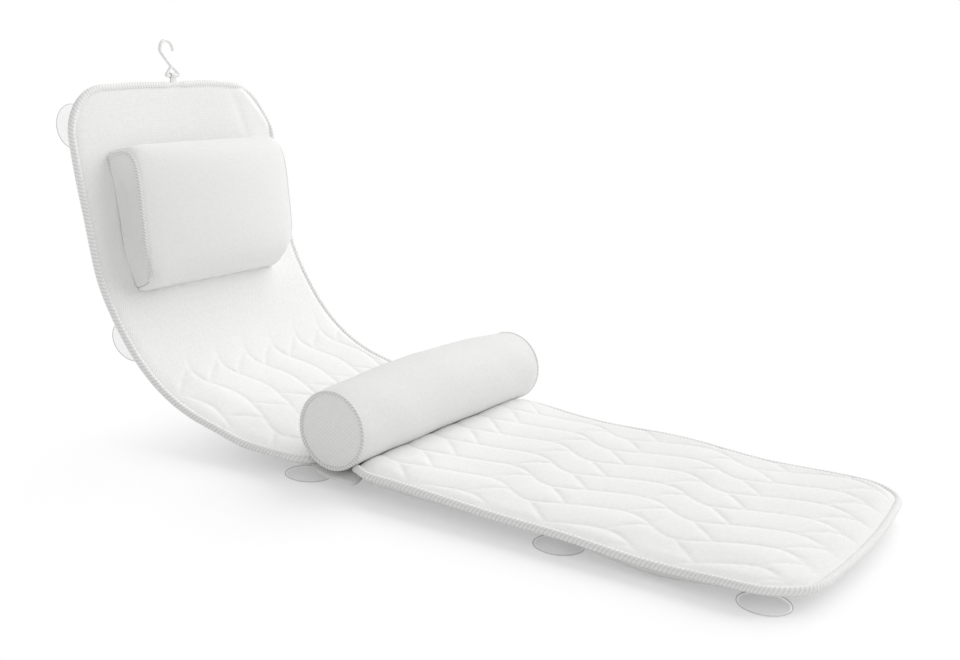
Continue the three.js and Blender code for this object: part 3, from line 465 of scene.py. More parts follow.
def spaced(line, count):
    """Places evenly spaced along a line, and their lengths along it."""
    length = length_along(line)
    even = np.linspace(0, length[-1], count + 1)
    return np.stack([np.interp(even, length, line[:, axis]) for axis in (0, 1)], -1), even


def cord_measure(path, turns):
    """A cord's own measure: metres along it, by the row, and turns round it, by the column."""
    return np.stack(np.broadcast_arrays(length_along(path)[:, None], turns[None, :]), -1)


def braided_skin(cut, radius, depth, pitch):
    """How far a braided cord's skin reaches and lifts from its middle at each turn: the radius follows the
    herringbone by a depth."""
    along, turns = cut[:-1, :-1, 0] / MM, cut[:-1, :-1, 1]
    skin = radius + depth * herringbone(along, turns, pitch)
    return skin * np.cos(2 * np.pi * turns), skin * np.sin(2 * np.pi * turns)


CORD_STEP = 1.4  # spacing of the edge cord's mesh
TAB_PINCH = 1.2  # how much thinner it is where the hanger's tab is sewn round it


def mat_piping(name, mat, lie, pinch=0.0):
    """Braided tube along a mat's laid outline, pinched at the middle of its first edge. The braid is fitted
    to a whole number of repeats."""
    course = outline_path(mat, CORD_STEP)
    place, way = course[:, :2], course[:, 2:]
    ring = np.vstack([place, place[:1]])
    length = length_along(ring)[-1]
    stretch = EDGE_PITCH * round(length / EDGE_PITCH) / length
    cut = cord_measure(stretch * ring * MM, np.arange(21) / 20)
    pinched = pinch * np.exp(-((place[:, 1:] / 14) ** 4)) * (place[:, :1] < mat[0] + 1)
    reach, lift = braided_skin(cut, PIPING_RADIUS - 0.2 - pinched, 0.15, EDGE_PITCH)
    down, across, out, _ = (value[:, None] for value in lie(place[:, 0], place[:, 1]))
    s = place[:, :1] + down + reach * way[:, :1]
    y = place[:, 1:] + across + reach * way[:, 1:]
    return mesh_piece(name, edge_braid, [on_mat(s, y, lift + out)], [cut], close_rows=True)


upper_piping = mat_piping("upper_mat_edge_cord", UPPER_MAT, upper_lie, pinch=TAB_PINCH)
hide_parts("back_edge_piping", "seat_edge_piping")
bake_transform(upper_piping)


# Leg mat: a second quilted mat of the same air mesh, padding, backing and edge cord, which lies flat on the
# bath's floor. Its first edge lies under the bolster roll, which presses it down.

LEG_MAT = (698.0, MAT_END, 46.0, 45.0)
LEG_WAVES = {"pitch": 55.5, "length": 174.0, "swing": 17.5, "lean": 0.34, "crest": 1027.0, "cross": 1081.0,
             "shift": -56.9, "drift": 0.04}
ROLL_RADIUS = 49.0
ROLL_BOW = 3.0  # how far the roll's middle is bowed up
ROLL_SKEW = math.radians(-3.1)
LEG_CUPS = (975.0, 1212.0)
END_BOW = 11.0  # the departures of leg_lie
END_SKEW = 7.0
END_CURVE = 12.0
CORNER_IN = (9.0, 8.0)  # along and across
LEG_SAG = 4.5
LEG_LIFT = 5.0
LEG_HEAP = 7.0
FACE_CLEAR = 3.0  # how much lower than its cord the mat is kept under the roll
roll_low, roll_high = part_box("bolster_cover")
roll_heart = np.array((roll_low + roll_high) / 2) / MM
ROLL_AT = roll_heart[0] - TOP_EDGE[0] + MAT_END - end_x[0]
ROLL_RISE = roll_heart[2] - TOP_EDGE[1] - end_z[0]


def under_roll(s, y):
    """Level of the roll's underside over the mat's middle: its rise less the circle's sqrt(r^2 - d^2), d
    being the distance from its skewed axis. Clear of the roll the level is its radius."""
    away = s - ROLL_AT + y * math.tan(ROLL_SKEW)
    round_off = np.sqrt(np.maximum(ROLL_RADIUS**2 - away**2, 0))
    bow = ROLL_BOW * np.clip(1 - (y / MAT_HALF) ** 2, 0, 1)
    return np.where(np.abs(away) < ROLL_RADIUS, ROLL_RISE + bow - round_off, ROLL_RADIUS)


def leg_lie(s, y):
    """How the laid leg mat departs from its flat cut, as in upper_lie: its end bows out, more on the far
    side, its near corner draws in, and its sides sag between the cups. Its start is heaped and its near
    side lifted, both only as far as the roll's underside lets them."""
    bowed = (END_BOW + END_SKEW * y / 170 - END_CURVE * (y / 170) ** 2) * smooth(s, 1130, MAT_END)
    corner = smooth(s, 1195, MAT_END) * smooth(-y, 130, 205)
    between = np.sin(np.pi * (s - LEG_CUPS[0]) / (LEG_CUPS[1] - LEG_CUPS[0])) ** 2
    far = smooth(y, 70, 205) * smooth(s, 745, 800)
    near = smooth(-y, 70, 205) * (s > LEG_CUPS[0])
    slack = between * np.where(y > 0, far, near)
    lifted = smooth(-y, 90, 205) * (1 - smooth(s, 760, 940))
    heaped = np.clip(1 - (y / 205) ** 4, 0, 1) * (1 - smooth(s, 738, 830))
    room = under_roll(s, y) - PIPING_RADIUS - FACE_CLEAR * smooth(s, 705, 735)
    pressed = np.minimum(LEG_LIFT * lifted + LEG_HEAP * heaped, room) - LEG_SAG * slack
    loose = slack + 0.8 * lifted * smooth(s, 715, 745)
    return bowed - CORNER_IN[0] * corner, CORNER_IN[1] * corner, pressed, loose


leg_face = mat_cover("leg_mat_face", LEG_MAT, LEG_WAVES, None, leg_lie)
leg_backing = mat_backing("leg_mat_backing", LEG_MAT, LEG_WAVES, None, leg_lie)
leg_piping = mat_piping("leg_mat_edge_cord", LEG_MAT, leg_lie)
LEG_BENDS, LEG_TURNED = on_mat([718.0, 746.0], 0.0, 0.0)
for piece, slot, *nodes in ((leg_face, "air_mesh", "leg_face_mesh", "leg_padding"),
                            (leg_backing, "backing_cloth", "leg_backing"),
                            (leg_piping, "braid", "leg_edge_piping")):
    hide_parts(*nodes)
    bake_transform(piece)


# Band between the mats: a doubled strip of the backing cloth, sewn under the edge cords of both mats, on
# which the real leg mat folds. Here it is drawn as it lies.

BAND_ENDS = (649.0, 700.0)
BAND_FLAP = 18.0  # how much further it reaches at its sides
share = np.linspace(0, 1, 50)[:, None]
y_band = np.linspace(-MAT_HALF, MAT_HALF, 140)[None, :]
aside = smooth(np.abs(y_band), 120, MAT_HALF)
s_band = BAND_ENDS[0] + share * (BAND_ENDS[1] - BAND_ENDS[0] + BAND_FLAP * aside)
slack_band = 0.5 * ripple(s_band, 0.4 * y_band, 31, 90, 30)
thick = np.sqrt(1 - (2 * share - 1) ** 8) * np.sqrt(1 - (y_band / MAT_HALF) ** 8)
band_low = -4.2 - 6.0 * aside * smooth(share, 0, 0.5)
band_half = 1.6 + 3.6 * aside * smooth(share, 0, 0.4)
band_levels = (band_low + (band_half + slack_band) * thick, band_low - (band_half - slack_band) * thick)
band = layered("hinge_band_cloth", backing_cloth, (s_band, y_band), (s_band, y_band), band_levels)
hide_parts("hinge_band")
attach(band, "seat")


# Head pillow: a wedge of folded spacer mesh in an air-mesh cover, full at its top and thin at its bottom,
# with a flat panel and a thin cord sewn round each end. Tapes hold its back to the mat.

PILLOW_MIDDLE = 175.0
PILLOW_HALF_HEIGHT = 97.0
PILLOW_HALF = 155.0
PILLOW_BACK = 9.6  # level of its back
PILLOW_THICKNESS = (55.0, 35.0)  # at the top and at the bottom
PILLOW_EDGE = (25.0, 9.0)  # how far the top and the bottom edge stand off its back
PILLOW_CROWN = 18.0  # how much thicker its middle is than its ends
PILLOW_SETTLE = 5.0  # how far its ends and its bottom settle onto the mat
PILLOW_HOLLOW = 14.0  # how far its ends are drawn in behind the cord
PILLOW_ASIDE = 2.0  # how far it sits to the far side
PILLOW_SLANT = 0.07  # how far its lower part leans to the near side
PILLOW_TURN = 0.012  # how far it is turned askew
PILLOW_CORD = 3.3  # radius of its end cords
PILLOW_TUCK = 16.0  # how far the cord at its back is tucked under it
PILLOW_FLARE = 14.0  # how far its ends spread where they meet the mat, less at the bottom
PILLOW_AROUND = 130  # mesh points round its section


def pillow_loop(across, inset, count):
    """Section of the pillow at a share across it, drawn in by an inset: places evenly spaced along a
    flat-backed superellipse whose thickness falls from top to bottom, and its length so far."""
    angle = np.linspace(0, 2 * np.pi, 1441)
    front = np.sin(angle) > 0
    power = np.where(front, 2.8, 9.0)
    along = np.sign(np.cos(angle)) * np.abs(np.cos(angle)) ** (2 / power)
    rise = np.abs(np.sin(angle)) ** (2 / power)
    thickness = PILLOW_CROWN * (1 - across**2) + np.interp(along, [-1, 1], PILLOW_THICKNESS)
    edge = np.interp(along, [-1, 1], PILLOW_EDGE)
    s = PILLOW_MIDDLE + along * (PILLOW_HALF_HEIGHT - inset - 5 * smooth(abs(across), 0.9, 1))
    at_end = smooth(abs(across), 0.8, 0.97) * (1 + 1.2 * smooth(along, 0, 0.7))
    settle = PILLOW_SETTLE * np.maximum(at_end, smooth(along, 0.62, 0.95))
    n = PILLOW_BACK - settle + edge + rise * np.where(front, thickness + settle - edge - inset, inset - edge)
    return spaced(np.stack([s, n], -1), count)


def on_pillow(s, y, n, tuck=0.0):
    """Points in metres on the pillow as it lies: a little askew, leaning to the near side, its ends drawn
    in behind the front and below the top and spread at the mat. A tuck draws their back in further."""
    below = s - PILLOW_MIDDLE + PILLOW_HALF_HEIGHT
    depth = (n - PILLOW_BACK) / np.interp(below, [0, 2 * PILLOW_HALF_HEIGHT], PILLOW_THICKNESS)
    hollow = PILLOW_HOLLOW * (1 - smooth(depth, 0.55, 0.95)) + tuck * (1 - smooth(depth, 0.15, 0.4))
    hollow = hollow - PILLOW_FLARE * (1 - smooth(depth, -0.24, 0.2)) * (1 - 0.75 * smooth(below, 100, 185))
    drawn_in = hollow * smooth(below, 5, 60) * y / PILLOW_HALF
    lean = PILLOW_ASIDE - PILLOW_SLANT * below
    return on_mat(s + PILLOW_TURN * (y + PILLOW_HALF), y - drawn_in + lean, n)


CLOTH_FRAMES = 20


def swell(piece, pressure, cap):
    """Cloth run of a stuffed cover, pressed out from inside: no point moves further than cap metres."""
    mesh = piece.data
    held = np.empty(len(mesh.vertices), np.float32)
    mesh.attributes["held"].data.foreach_get("value", held)
    sewn = piece.vertex_groups.new(name="held")
    sewn.add(np.flatnonzero(held > 0.5).tolist(), 1.0, "REPLACE")
    cloth = piece.modifiers.new("cloth", "CLOTH")
    cloth.settings.vertex_group_mass = "held"
    cloth.settings.use_pressure = True
    cloth.settings.uniform_pressure_force = pressure
    cloth.settings.effector_weights.gravity = 0
    cloth.settings.quality = 6
    cloth.settings.bending_stiffness = 6.0
    start = np.empty(3 * len(mesh.vertices), np.float32)
    mesh.vertices.foreach_get("co", start)
    ended = np.empty_like(start)
    for step in range(1, CLOTH_FRAMES + 1):
        scene.frame_set(step)
    shaped = piece.evaluated_get(bpy.context.evaluated_depsgraph_get())
    shaped.data.vertices.foreach_get("co", ended)
    piece.modifiers.remove(cloth)
    scene.frame_set(1)
    moved = (ended - start).reshape(-1, 3)
    far = np.maximum(np.linalg.norm(moved, axis=1, keepdims=True), 1e-9)
    moved = moved * np.tanh(far / cap) * cap / far
    mesh.vertices.foreach_set("co", (start.reshape(-1, 3) + moved).ravel())
    mesh.update()


seam_y = PILLOW_HALF - PILLOW_CORD
rows_y = np.linspace(-seam_y, seam_y, 79)
loops = [pillow_loop(y / PILLOW_HALF, 0.0 if abs(y) < seam_y else 2.0, PILLOW_AROUND) for y in rows_y]
cover_s, cover_n = (np.stack([loop[:-1, axis] for loop, _ in loops]) for axis in (0, 1))
cover_cut = np.stack([np.stack([even, np.full_like(even, y)], -1) for (_, even), y in zip(loops, rows_y)])
pillow_grids = [on_pillow(cover_s, rows_y[:, None], cover_n)]
pillow_cuts = [cover_cut * MM]
pillow_held = [(np.abs(rows_y[:, None]) > seam_y - 0.1) | (cover_n < PILLOW_BACK + 1.5)]
panel_inset = (2.0, 3.5, 6.0, 8.5)
panel_loops = [pillow_loop(1.0, inset, PILLOW_AROUND)[0] for inset in panel_inset]
panel_heart = np.array([PILLOW_MIDDLE, PILLOW_BACK + sum(PILLOW_EDGE) / 2 + 4])
panel_loops += [panel_heart + share * (panel_loops[-1] - panel_heart) for share in (0.8, 0.6, 0.4, 0.2, 0.0)]
panel_bulge = np.array([0.0, 0.2, 0.8, 1.3, 1.8, 2.1, 2.3, 2.4, 2.4])
panel = np.stack(panel_loops)
for sign in (-1, 1):
    y_panel = sign * (seam_y + panel_bulge)[:, None]
    pillow_grids.append(on_pillow(panel[:, :-1, 0], y_panel, panel[:, :-1, 1]))
    pillow_cuts.append(panel * MM)
    pillow_held.append(np.ones(panel.shape[:2])[:, :-1])
pillow_mesh = air_mesh("air_mesh_pillow", "#f1f1f0", "#e3e3e2", 0.0026, 0.00015)
pillow = mesh_piece("head_pillow_cover", pillow_mesh, pillow_grids, pillow_cuts, held=pillow_held)
swell(pillow, pressure=3.0, cap=0.004)
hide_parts("pillow_cover", "pillow_gusset_right", "pillow_gusset_left", "pillow_core")
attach(pillow, "head_pillow")

THIN_PITCH = 4.4
# the second colour is the painted shade between the stitches
thin_braid = braid("thin_cord_braid", "#f0f0ef", "#d6d6d5", THIN_PITCH * MM)
cord_turns = np.arange(15) / 14
for side, sign in (("right", -1), ("left", 1)):
    loop = pillow_loop(1.0, PILLOW_CORD, 420)[0]
    cut = cord_measure(loop * MM, cord_turns)
    line = loop[:-1]
    tangent = np.roll(line, -1, 0) - np.roll(line, 1, 0)
    tangent = tangent / np.linalg.norm(tangent, axis=1, keepdims=True)
    reach, lift = braided_skin(cut, PILLOW_CORD - 0.15, 0.15, THIN_PITCH)
    ring_s, ring_n = line[:, :1] + reach * tangent[:, 1:], line[:, 1:] - reach * tangent[:, :1]
    grid = on_pillow(ring_s, sign * (seam_y + lift), ring_n, tuck=PILLOW_TUCK)
    cord = mesh_piece(f"head_pillow_cord_{side}", thin_braid, [grid], [cut], close_rows=True)
    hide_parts(f"pillow_piping_{side}")
    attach(cord, "head_pillow")


# Hook-and-loop tapes: two woven strips sewn to the back, and two hook strips on the pillow,
# which press onto them.

TAPE_REACH = 42.0
TAPE_HALF_WIDTH = 12.5
TAPE_HALF = 117.0
TAPE_PLY = 0.6  # half its thickness
for kind, level, body in (("loop", 6.6, "back"), ("hook", 8.1, "head_pillow")):
    for place, middle in (("upper", PILLOW_MIDDLE - TAPE_REACH), ("lower", PILLOW_MIDDLE + TAPE_REACH)):
        s_tape = middle + np.linspace(-TAPE_HALF_WIDTH, TAPE_HALF_WIDTH, 14)[:, None]
        y_tape = np.linspace(-TAPE_HALF, TAPE_HALF, 60)[None, :]
        round_off = np.sqrt(1 - ((s_tape - middle) / TAPE_HALF_WIDTH) ** 8)
        ply = TAPE_PLY * round_off * np.sqrt(1 - (y_tape / TAPE_HALF) ** 40)
        tape = layered(f"{kind}_tape_strip_{place}", backing_cloth, (s_tape, y_tape), (s_tape, y_tape),
                       (level + TAPE_PLY + ply, level + TAPE_PLY - ply))
        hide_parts(f"{kind}_tape_{place}")
        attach(tape, body)


# Bolster: a loose roll of spacer mesh in a tube of air mesh, with a ribbed disc and a cord sewn into each
# end. It lies a little askew on the band between the mats.

ROLL_ENDS = (-200.0, 209.0)
ROLL_CORD = 2.5  # radius of its end cords
ROLL_PLUMP = 3.4  # how much its radius grows to its middle


def plump(y):
    """How much the roll's radius grows from its ends to its middle: plump (1 - (y / half)^2)."""
    return ROLL_PLUMP * np.clip(1 - (y / MAT_HALF) ** 2, 0, 1)


def on_roll(radius, angle, y):
    """Points in metres on the roll: radius and angle about its axis, and y along it, turned by its skew.
    The axis rises with its plumpness and bow."""
    radius, angle, y = np.broadcast_arrays(radius, angle, y)
    x, z = radius * np.cos(angle), radius * np.sin(angle) + plump(y) * (1 + ROLL_BOW / ROLL_PLUMP)
    across, along = math.cos(ROLL_SKEW), math.sin(ROLL_SKEW)
    return (np.stack([x * across - y * along, x * along + y * across, z], -1) + roll_heart) * MM


roll_turn = np.linspace(0, 2 * np.pi, 97)[None, :]
roll_y = np.linspace(ROLL_ENDS[0] + ROLL_CORD, ROLL_ENDS[1] - ROLL_CORD, 121)[:, None]
from_cord = np.minimum(roll_y - ROLL_ENDS[0], ROLL_ENDS[1] - roll_y)
uneven = ripple(ROLL_RADIUS * np.cos(roll_turn), ROLL_RADIUS * np.sin(roll_turn) + roll_y, 41, 160, 60)
roll_radius = ROLL_RADIUS - 0.4 - 1.4 * np.exp(-from_cord / 5) + 0.3 * uneven + plump(roll_y)
roll_cut = np.stack(np.broadcast_arrays(ROLL_RADIUS * roll_turn, roll_y), -1) * MM
roll_mesh = air_mesh("air_mesh_bolster", "#efefee", "#e0e0df", 0.0026, 0.00015)
roll_grid = on_roll(roll_radius[:, :-1], roll_turn[:, :-1], roll_y)
roll = mesh_piece("bolster_roll_cover", roll_mesh, [roll_grid], [roll_cut])
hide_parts("bolster_cover", "bolster_core")
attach(roll, "bolster")

# the ribs are the cloth's own; its lighter white than the tube's is painted light that lifts the shade on the
# end faces
ribbed_mesh = air_mesh("air_mesh_ribbed_end", "#f5f5f4", "#e3e3e2", 0.0036, 0.0002, turns=(45, 135))
DISC_RADIUS = (45.5, 43.0, 40.0, 35.0, 28.0, 20.0, 10.0, 0.0)
DISC_DEPTH = 8.0
DISC_DOME = (0.0, 0.7, 1.2, 1.7, 2.1, 2.4, 2.6, 2.6)
for side, sign, roll_end in (("right", -1, ROLL_ENDS[0]), ("left", 1, ROLL_ENDS[1])):
    r_disc, dome = np.array(DISC_RADIUS)[:, None], np.array(DISC_DOME)[:, None]
    y_disc = roll_end - sign * (ROLL_CORD + 0.4 - dome)
    y_inner = roll_end - sign * DISC_DEPTH
    wall = np.array([y_disc[0], [y_inner]])
    disc_cut = np.stack([r_disc * np.cos(roll_turn), r_disc * np.sin(roll_turn)], -1) * MM
    around = roll_turn[:, :-1]
    disc_grids = [on_roll(r_disc, around, y_disc), on_roll(r_disc, around, y_inner),
                  on_roll(r_disc[:1], around, wall)]
    disc = mesh_piece(f"bolster_end_disc_{side}", ribbed_mesh, disc_grids, [disc_cut, disc_cut, disc_cut[:2]])
    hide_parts(f"bolster_end_{side}")
    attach(disc, "bolster")
    ring = np.linspace(0, 2 * np.pi, 281)
    ring_radius = ROLL_RADIUS - ROLL_CORD
    cut = cord_measure(ring_radius * np.stack([np.cos(ring), np.sin(ring)], -1) * MM, cord_turns)
    reach, lift = braided_skin(cut, ROLL_CORD - 0.1, 0.1, THIN_PITCH)
    grid = on_roll(ring_radius + reach, ring[:-1, None], roll_end - sign * (ROLL_CORD - lift))
    cord = mesh_piece(f"bolster_cord_{side}", thin_braid, [grid], [cut], close_rows=True)
    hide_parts(f"bolster_piping_{side}")
    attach(cord, "bolster")


# Suction cups: soft clear vinyl, moulded with a thin flared skirt, a shallow dish, and a neck and knob that
# push through a plastic eyelet in the backing.

CUP_BASE = -26.1
CUP_OUTLINE = np.array([(0, 6.5), (6, 6.3), (12, 5.4), (18, 3.6), (23, 1.3), (25.5, 0.15), (26.2, 0),
                        (28.6, 0), (29.3, 0.25), (29.5, 0.7), (29.2, 1.2), (27.5, 1.75), (24, 2.9), (20, 4.7),
                        (16, 7), (12.5, 9.8), (10, 12.4), (8.6, 14.2), (7.4, 15), (5, 15), (3.5, 15.1),
                        (3.5, 20.5), (4.5, 20.6), (6.6, 20.7), (7, 21.2), (7, 22.6), (6, 23.4), (3, 23.6),
                        (0, 23.6)])  # radius and level
EYELET_OUTLINE = np.array([(4.1, -10.8), (6, -10.8), (8.6, -10.7), (9.6, -10.2), (10, -9.5), (9.6, -9.3),
                           (4.1, -9.3), (3.95, -10), (4.1, -10.8)])
CUP_SIDE = 170.0
CUP_PLACES = {"back_top": (45.0, "back"), "back_low": (325.0, "back"), "seat": (630.0, "seat"),
              "leg_mid": (LEG_CUPS[0], "leg"), "leg_end": (LEG_CUPS[1], "leg")}


def off_mat(s, down, y, out):
    """Points in metres on the straight axes of the mat at s: down along its lean there, y across and out."""
    x, z, lean = (value[0] for value in side_profile(np.array([s])))
    down, y, out = np.broadcast_arrays(down, y, out)
    x = x + down * np.sin(lean) + out * np.cos(lean) + TOP_EDGE[0]
    z = z - down * np.cos(lean) + out * np.sin(lean) + TOP_EDGE[1]
    return np.stack([x, y, z], -1) * MM


def turned(outline, s, y):
    """A turned shape square to the mat: each point of the outline is swept round the axis at s, y."""
    angle = np.linspace(0, 2 * np.pi, 72, endpoint=False)[None, :]
    radius, level = outline[:, :1], outline[:, 1:]
    return off_mat(s, radius * np.cos(angle), y + radius * np.sin(angle), level)


def turned_measure(outline):
    """The turned shape's own measure: turns round it, and metres along its outline."""
    along = length_along(outline)[:, None] * MM
    return np.stack(np.broadcast_arrays(np.linspace(0, 1, 73)[None, :], along), -1)


CUP_RIM = turned_measure(CUP_OUTLINE)[CUP_OUTLINE[:, 0].argmax(), 0, 1]


def clear_vinyl(name):
    """Soft clear PVC, moulded thin and glossy: most of the light passes straight through it. Painted shade
    makes the rim, seen edge on, a greyer line about a millimetre to each side."""
    material, tree = bare_material(name)
    cut = add(tree, "UVMap", {"uv_map": "cut"})
    along = add(tree, "SeparateXYZ", None, cut).node.outputs["Y"]
    # painted shade: the rim is greyed and made less clear, for the darker view through the vinyl's edge
    from_rim = add(tree, "Math", "SUBTRACT", along, CUP_RIM)
    apart = add(tree, "Math", "ABSOLUTE", from_rim)
    rim = add(tree, "MapRange", None, apart, 0.0007, 0.0015, 1.0, 0.0)
    rim_shade_colour = add(tree, "Mix", {"data_type": "RGBA"}, Factor=rim, A=linear("#fafbfb"), B=linear("#9ea2a3"))
    solid = add(tree, "MapRange", None, rim, 0.0, 1.0, 0.16, 0.5)
    place = tree.nodes.new("ShaderNodeTexCoord").outputs["Object"]
    cloud = add(tree, "TexNoise", None, place, Scale=90.0, Detail=2.0)
    rough = add(tree, "MapRange", None, cloud, 0.3, 0.7, 0.08, 0.18)
    wave = add(tree, "TexNoise", None, place, Scale=55.0, Detail=1.0)
    relief = add(tree, "Bump", None, Strength=0.15, Distance=0.001, Height=wave)
    vinyl = add(tree, "BsdfPrincipled", None, Base_Color=rim_shade_colour, Roughness=rough,
                IOR=1.53, Alpha=solid, Normal=relief)
    add(tree, "OutputMaterial", None, vinyl)
    return material


vinyl = clear_vinyl("clear_vinyl_cup")


def white_moulding(name, code, roughness):
    """Moulded white polypropylene: an even colour with a faint orange-peel gloss."""
    material, tree = bare_material(name)
    place = tree.nodes.new("ShaderNodeTexCoord").outputs["Object"]
    peel = add(tree, "TexNoise", None, place, Scale=700.0, Detail=2.0)
    gloss = add(tree, "MapRange", None, peel, 0.3, 0.7, roughness - 0.05, roughness + 0.08)
    relief = add(tree, "Bump", None, Strength=0.1, Distance=0.0003, Height=peel)
    plastic = add(tree, "BsdfPrincipled", None, Base_Color=linear(code), Roughness=gloss, IOR=1.49,
                  Normal=relief)
    add(tree, "OutputMaterial", None, plastic)
    return material


moulding = white_moulding("white_moulded_plastic", "#f3f3f2", 0.3)
cup_outline = CUP_OUTLINE + np.array([0, CUP_BASE])
for place, (s_cup, carrier) in CUP_PLACES.items():
    for side, sign in (("right", -1), ("left", 1)):
        y_cup = sign * CUP_SIDE
        cup = mesh_piece(f"suction_cup_{place}_{side}", vinyl, [turned(cup_outline, s_cup, y_cup)],
                         [turned_measure(cup_outline)])
        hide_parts(f"cup_{place}_{side}")
        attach(cup, f"cup_{place}_{side}")
        eyelet = mesh_piece(f"cup_eyelet_{place}_{side}", moulding, [turned(EYELET_OUTLINE, s_cup, y_cup)],
                            [turned_measure(EYELET_OUTLINE)])
        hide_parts(f"eyelet_{place}_{side}")
        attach(eyelet, carrier)


# Hanger: an S-shaped hook of white plastic. Its three-cornered eye hangs in a folded webbing tab that is
# sewn into the cord at the middle of the top edge.

BAR_RISE = 15.2  # how far above the top edge the tab holds the eye
WIRE = 2.3  # radius of the hook's wire
EYE_HALF = 14.0
EYE_HEIGHT = 13.0
EYE_CORNER = 3.0
BOW_OFFSET = -6.5
BOW_HEIGHT = 35.5
BOW_RADIUS = 12.5


def rounded(corners, cut):
    """A closed line whose corners are quadratic curves, each starting and ending cut from its corner."""
    t = np.linspace(0, 1, 14)[:, None]
    parts = []
    for last, corner, following in zip(np.roll(corners, 1, 0), corners, np.roll(corners, -1, 0)):
        entry = corner + cut * (last - corner) / np.linalg.norm(last - corner)
        leave = corner + cut * (following - corner) / np.linalg.norm(following - corner)
        parts.append((1 - t) ** 2 * entry + 2 * t * (1 - t) * corner + t**2 * leave)
    return np.concatenate(parts + [parts[0][:1]])


def curved(points):
    """A Catmull-Rom curve through the points."""
    knots = np.vstack([2 * points[:1] - points[1:2], points, 2 * points[-1:] - points[-2:-1]])
    spans = len(points) - 1
    t = np.linspace(0, spans, 40 * spans + 1)
    i = np.minimum(t.astype(int), spans - 1)
    f = (t - i)[:, None]
    a, b, c, d = (knots[i + k] for k in range(4))
    return 0.5 * (2 * b + (c - a) * f + (2 * a - 5 * b + 4 * c - d) * f**2 + (3 * b - a - 3 * c + d) * f**3)


def wire(line, radius):
    """A round wire along a line in the hanger's plane: rings about it, in the plane's normal and the line's
    own. A line that ends where it starts keeps one direction there."""
    step = np.gradient(line, axis=0)
    if np.allclose(line[0], line[-1]):
        step[0] = step[-1] = line[1] - line[-2]
    step = step / np.linalg.norm(step, axis=1, keepdims=True)
    angle = np.linspace(0, 2 * np.pi, 16, endpoint=False)[None, :]
    reach, lift = radius * np.cos(angle), radius * np.sin(angle)
    rise = BAR_RISE + line[:, 1:] + reach * step[:, :1]
    return off_mat(0.0, -rise, line[:, :1] - reach * step[:, 1:], lift)


eye_corners = np.array([(-EYE_HALF, 0), (EYE_HALF, 0), (0, EYE_HEIGHT)])
bow_angle = np.radians([195, 165, 135, 105, 75, 45, 15, -12])
bow_points = np.vstack([[(0, EYE_HEIGHT - WIRE), (-4, EYE_HEIGHT + 2.6)],
                        np.stack([BOW_OFFSET + BOW_RADIUS * np.cos(bow_angle),
                                  BOW_HEIGHT + BOW_RADIUS * np.sin(bow_angle)], -1)])
eye_line, _ = spaced(rounded(eye_corners, EYE_CORNER), 120)
bow_line, _ = spaced(curved(bow_points), 120)
tip = np.ones((121, 1))
tip[:1] = 0
tip[-5:, 0] = np.sqrt(1 - np.linspace(0, 1, 5) ** 2)
wire_turns = np.linspace(0, 1, 17)
hook = mesh_piece("hanging_hook", moulding, [wire(eye_line, WIRE), wire(bow_line, WIRE * tip)],
                  [cord_measure(line * MM, wire_turns) for line in (eye_line, bow_line)])
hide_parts("hanger_hook")
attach(hook, "hook")

TAB_HALF = 5.5
TAB_FLARE = 2.5  # how much wider it is below the loop on each side
LOOP_RADIUS = 3.3
LEG_APART = 0.72  # how far each leg of the fold is from its middle
fold = np.radians(np.linspace(-75, 255, 44))
legs = np.array([-11.5, -9.5, -7.5, -5.5, -4.2])
tab_line = np.vstack([np.stack([np.full(5, LEG_APART), legs], -1),
                      LOOP_RADIUS * np.stack([np.cos(fold), np.sin(fold)], -1),
                      np.stack([np.full(5, -LEG_APART), legs[::-1]], -1)])
tab_way = np.gradient(tab_line, axis=0)
tab_way = tab_way / np.linalg.norm(tab_way, axis=1, keepdims=True)
ply = np.array([-0.45, -0.3, 0.3, 0.45, 0.45, 0.3, -0.3, -0.45])
tab_half = TAB_HALF + TAB_FLARE * smooth(-tab_line[:, 1:], 7.5, 10.5)
edge = tab_half * np.array([-0.95, -1, -1, -0.95, 0.95, 1, 1, 0.95])
tab_rise = BAR_RISE + tab_line[:, 1:] - ply * tab_way[:, :1]
tab_grid = off_mat(0.0, -tab_rise, edge, tab_line[:, :1] + ply * tab_way[:, 1:])
tab_cut = cord_measure(tab_line * MM, np.array([0, 0.5, 1, 1.5, 13, 13.5, 14, 14.5, 26]) * MM)
tab = mesh_piece("hanger_webbing_tab", backing_cloth, [tab_grid], [tab_cut])
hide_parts("hanger_tab")
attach(tab, "back")


# Studio: a plain white floor, a white surround and one broad soft lamp high behind the mat, with the camera
# where the photograph was taken from.

SHADOW_MIDDLE = (0.22, -0.1, 0)  # the part of the floor that shows shadows
SHADOW_HALF = (0.34, 0.24, 0)
SHADOW_FADE = (0.04, 0.34)
SKY_LIGHT = 0.57
LAMP_FROM = (0.25, 0.75, 0.62)
CAMERA_AT = (0.7933, -1.4267, 0.5891)
floor_mesh = bpy.data.meshes.new("studio_floor")
floor_mesh.from_pydata([(-40, -40, 0), (40, -40, 0), (40, 40, 0), (-40, 40, 0)], [], [(0, 1, 2, 3)])
floor = placed("studio_floor", floor_mesh)
paper, tree = bare_material("white_paper_floor")


def shown(tree):
    """1 for rays that reach the camera, straight or by a gloss or a clear piece, else 0."""
    path = tree.nodes.new("ShaderNodeLightPath").outputs
    seen = add(tree, "Math", "MAXIMUM", path["Is Camera Ray"], path["Is Glossy Ray"])
    return add(tree, "Math", "MAXIMUM", seen, path["Is Transmission Ray"])


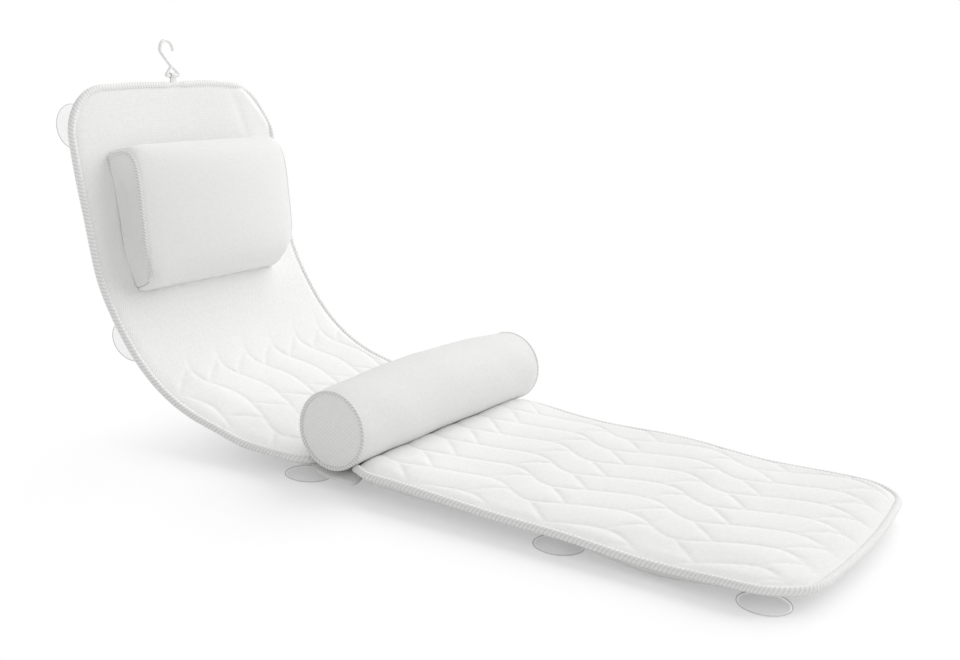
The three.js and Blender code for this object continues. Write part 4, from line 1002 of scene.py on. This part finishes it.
lit = add(tree, "BsdfDiffuse", None, linear("#fcfcfc"))
pale = add(tree, "BsdfDiffuse", None, linear("#d0d0d0"))
glow = add(tree, "Emission", None, (1, 1, 1, 1), 0.41)
white = add(tree, "Emission", None, (1, 1, 1, 1), 1.0)
place = tree.nodes.new("ShaderNodeTexCoord").outputs["Object"]
from_middle = add(tree, "VectorMath", "SUBTRACT", place, SHADOW_MIDDLE)
aside = add(tree, "VectorMath", "ABSOLUTE", from_middle)
beyond = add(tree, "VectorMath", "SUBTRACT", aside, SHADOW_HALF)
clear = add(tree, "VectorMath", "MAXIMUM", beyond, (0, 0, 0))
away = add(tree, "VectorMath", "LENGTH", clear)
fade = add(tree, "MapRange", {"interpolation_type": "SMOOTHSTEP"}, away, *SHADOW_FADE, 0.0, 1.0)
seen = add(tree, "MixShader", None, fade, add(tree, "AddShader", None, pale, glow), white)
add(tree, "OutputMaterial", None, add(tree, "MixShader", None, shown(tree), lit, seen))
floor_mesh.materials.append(paper)

world = bpy.data.worlds.new("white_surround")
scene.world = world
world.use_nodes = True
sky = world.node_tree
sky.nodes.clear()
strength = add(sky, "MapRange", None, shown(sky), 0.0, 1.0, SKY_LIGHT, 1.0)
add(sky, "OutputWorld", None, add(sky, "Background", None, (1, 1, 1, 1), strength))

lamp_data = bpy.data.lights.new("soft_key", "SUN")
lamp_data.energy = 1.95
lamp_data.angle = math.radians(70)
lamp = placed("soft_key", lamp_data)


def facing(back, level):
    """Turn whose z axis is back, with its x axis near level."""
    back = np.array(back) / np.linalg.norm(back)
    upright = np.cross(back, level)
    upright = upright / np.linalg.norm(upright)
    return Matrix(np.stack([np.cross(upright, back), upright, back], -1).tolist())


lamp.rotation_euler = facing(LAMP_FROM, (1, 0, 0)).to_euler()

azimuth, elevation, tilt = np.radians([28.62, 14.23, 4.08])
look_back = (np.sin(azimuth) * np.cos(elevation), -np.cos(azimuth) * np.cos(elevation), np.sin(elevation))
camera_data = bpy.data.cameras.new("photo_camera")
camera_data.sensor_width = 36
camera_data.lens = 49.68
camera = placed("photo_camera", camera_data)
stand = facing(look_back, (np.cos(azimuth), np.sin(azimuth), 0)) @ Matrix.Rotation(tilt, 3, "Z")
camera.matrix_world = Matrix.Translation(CAMERA_AT) @ stand.to_4x4()
scene.camera = camera
scene.view_settings.view_transform = "Standard"

bpy.context.view_layer.update()
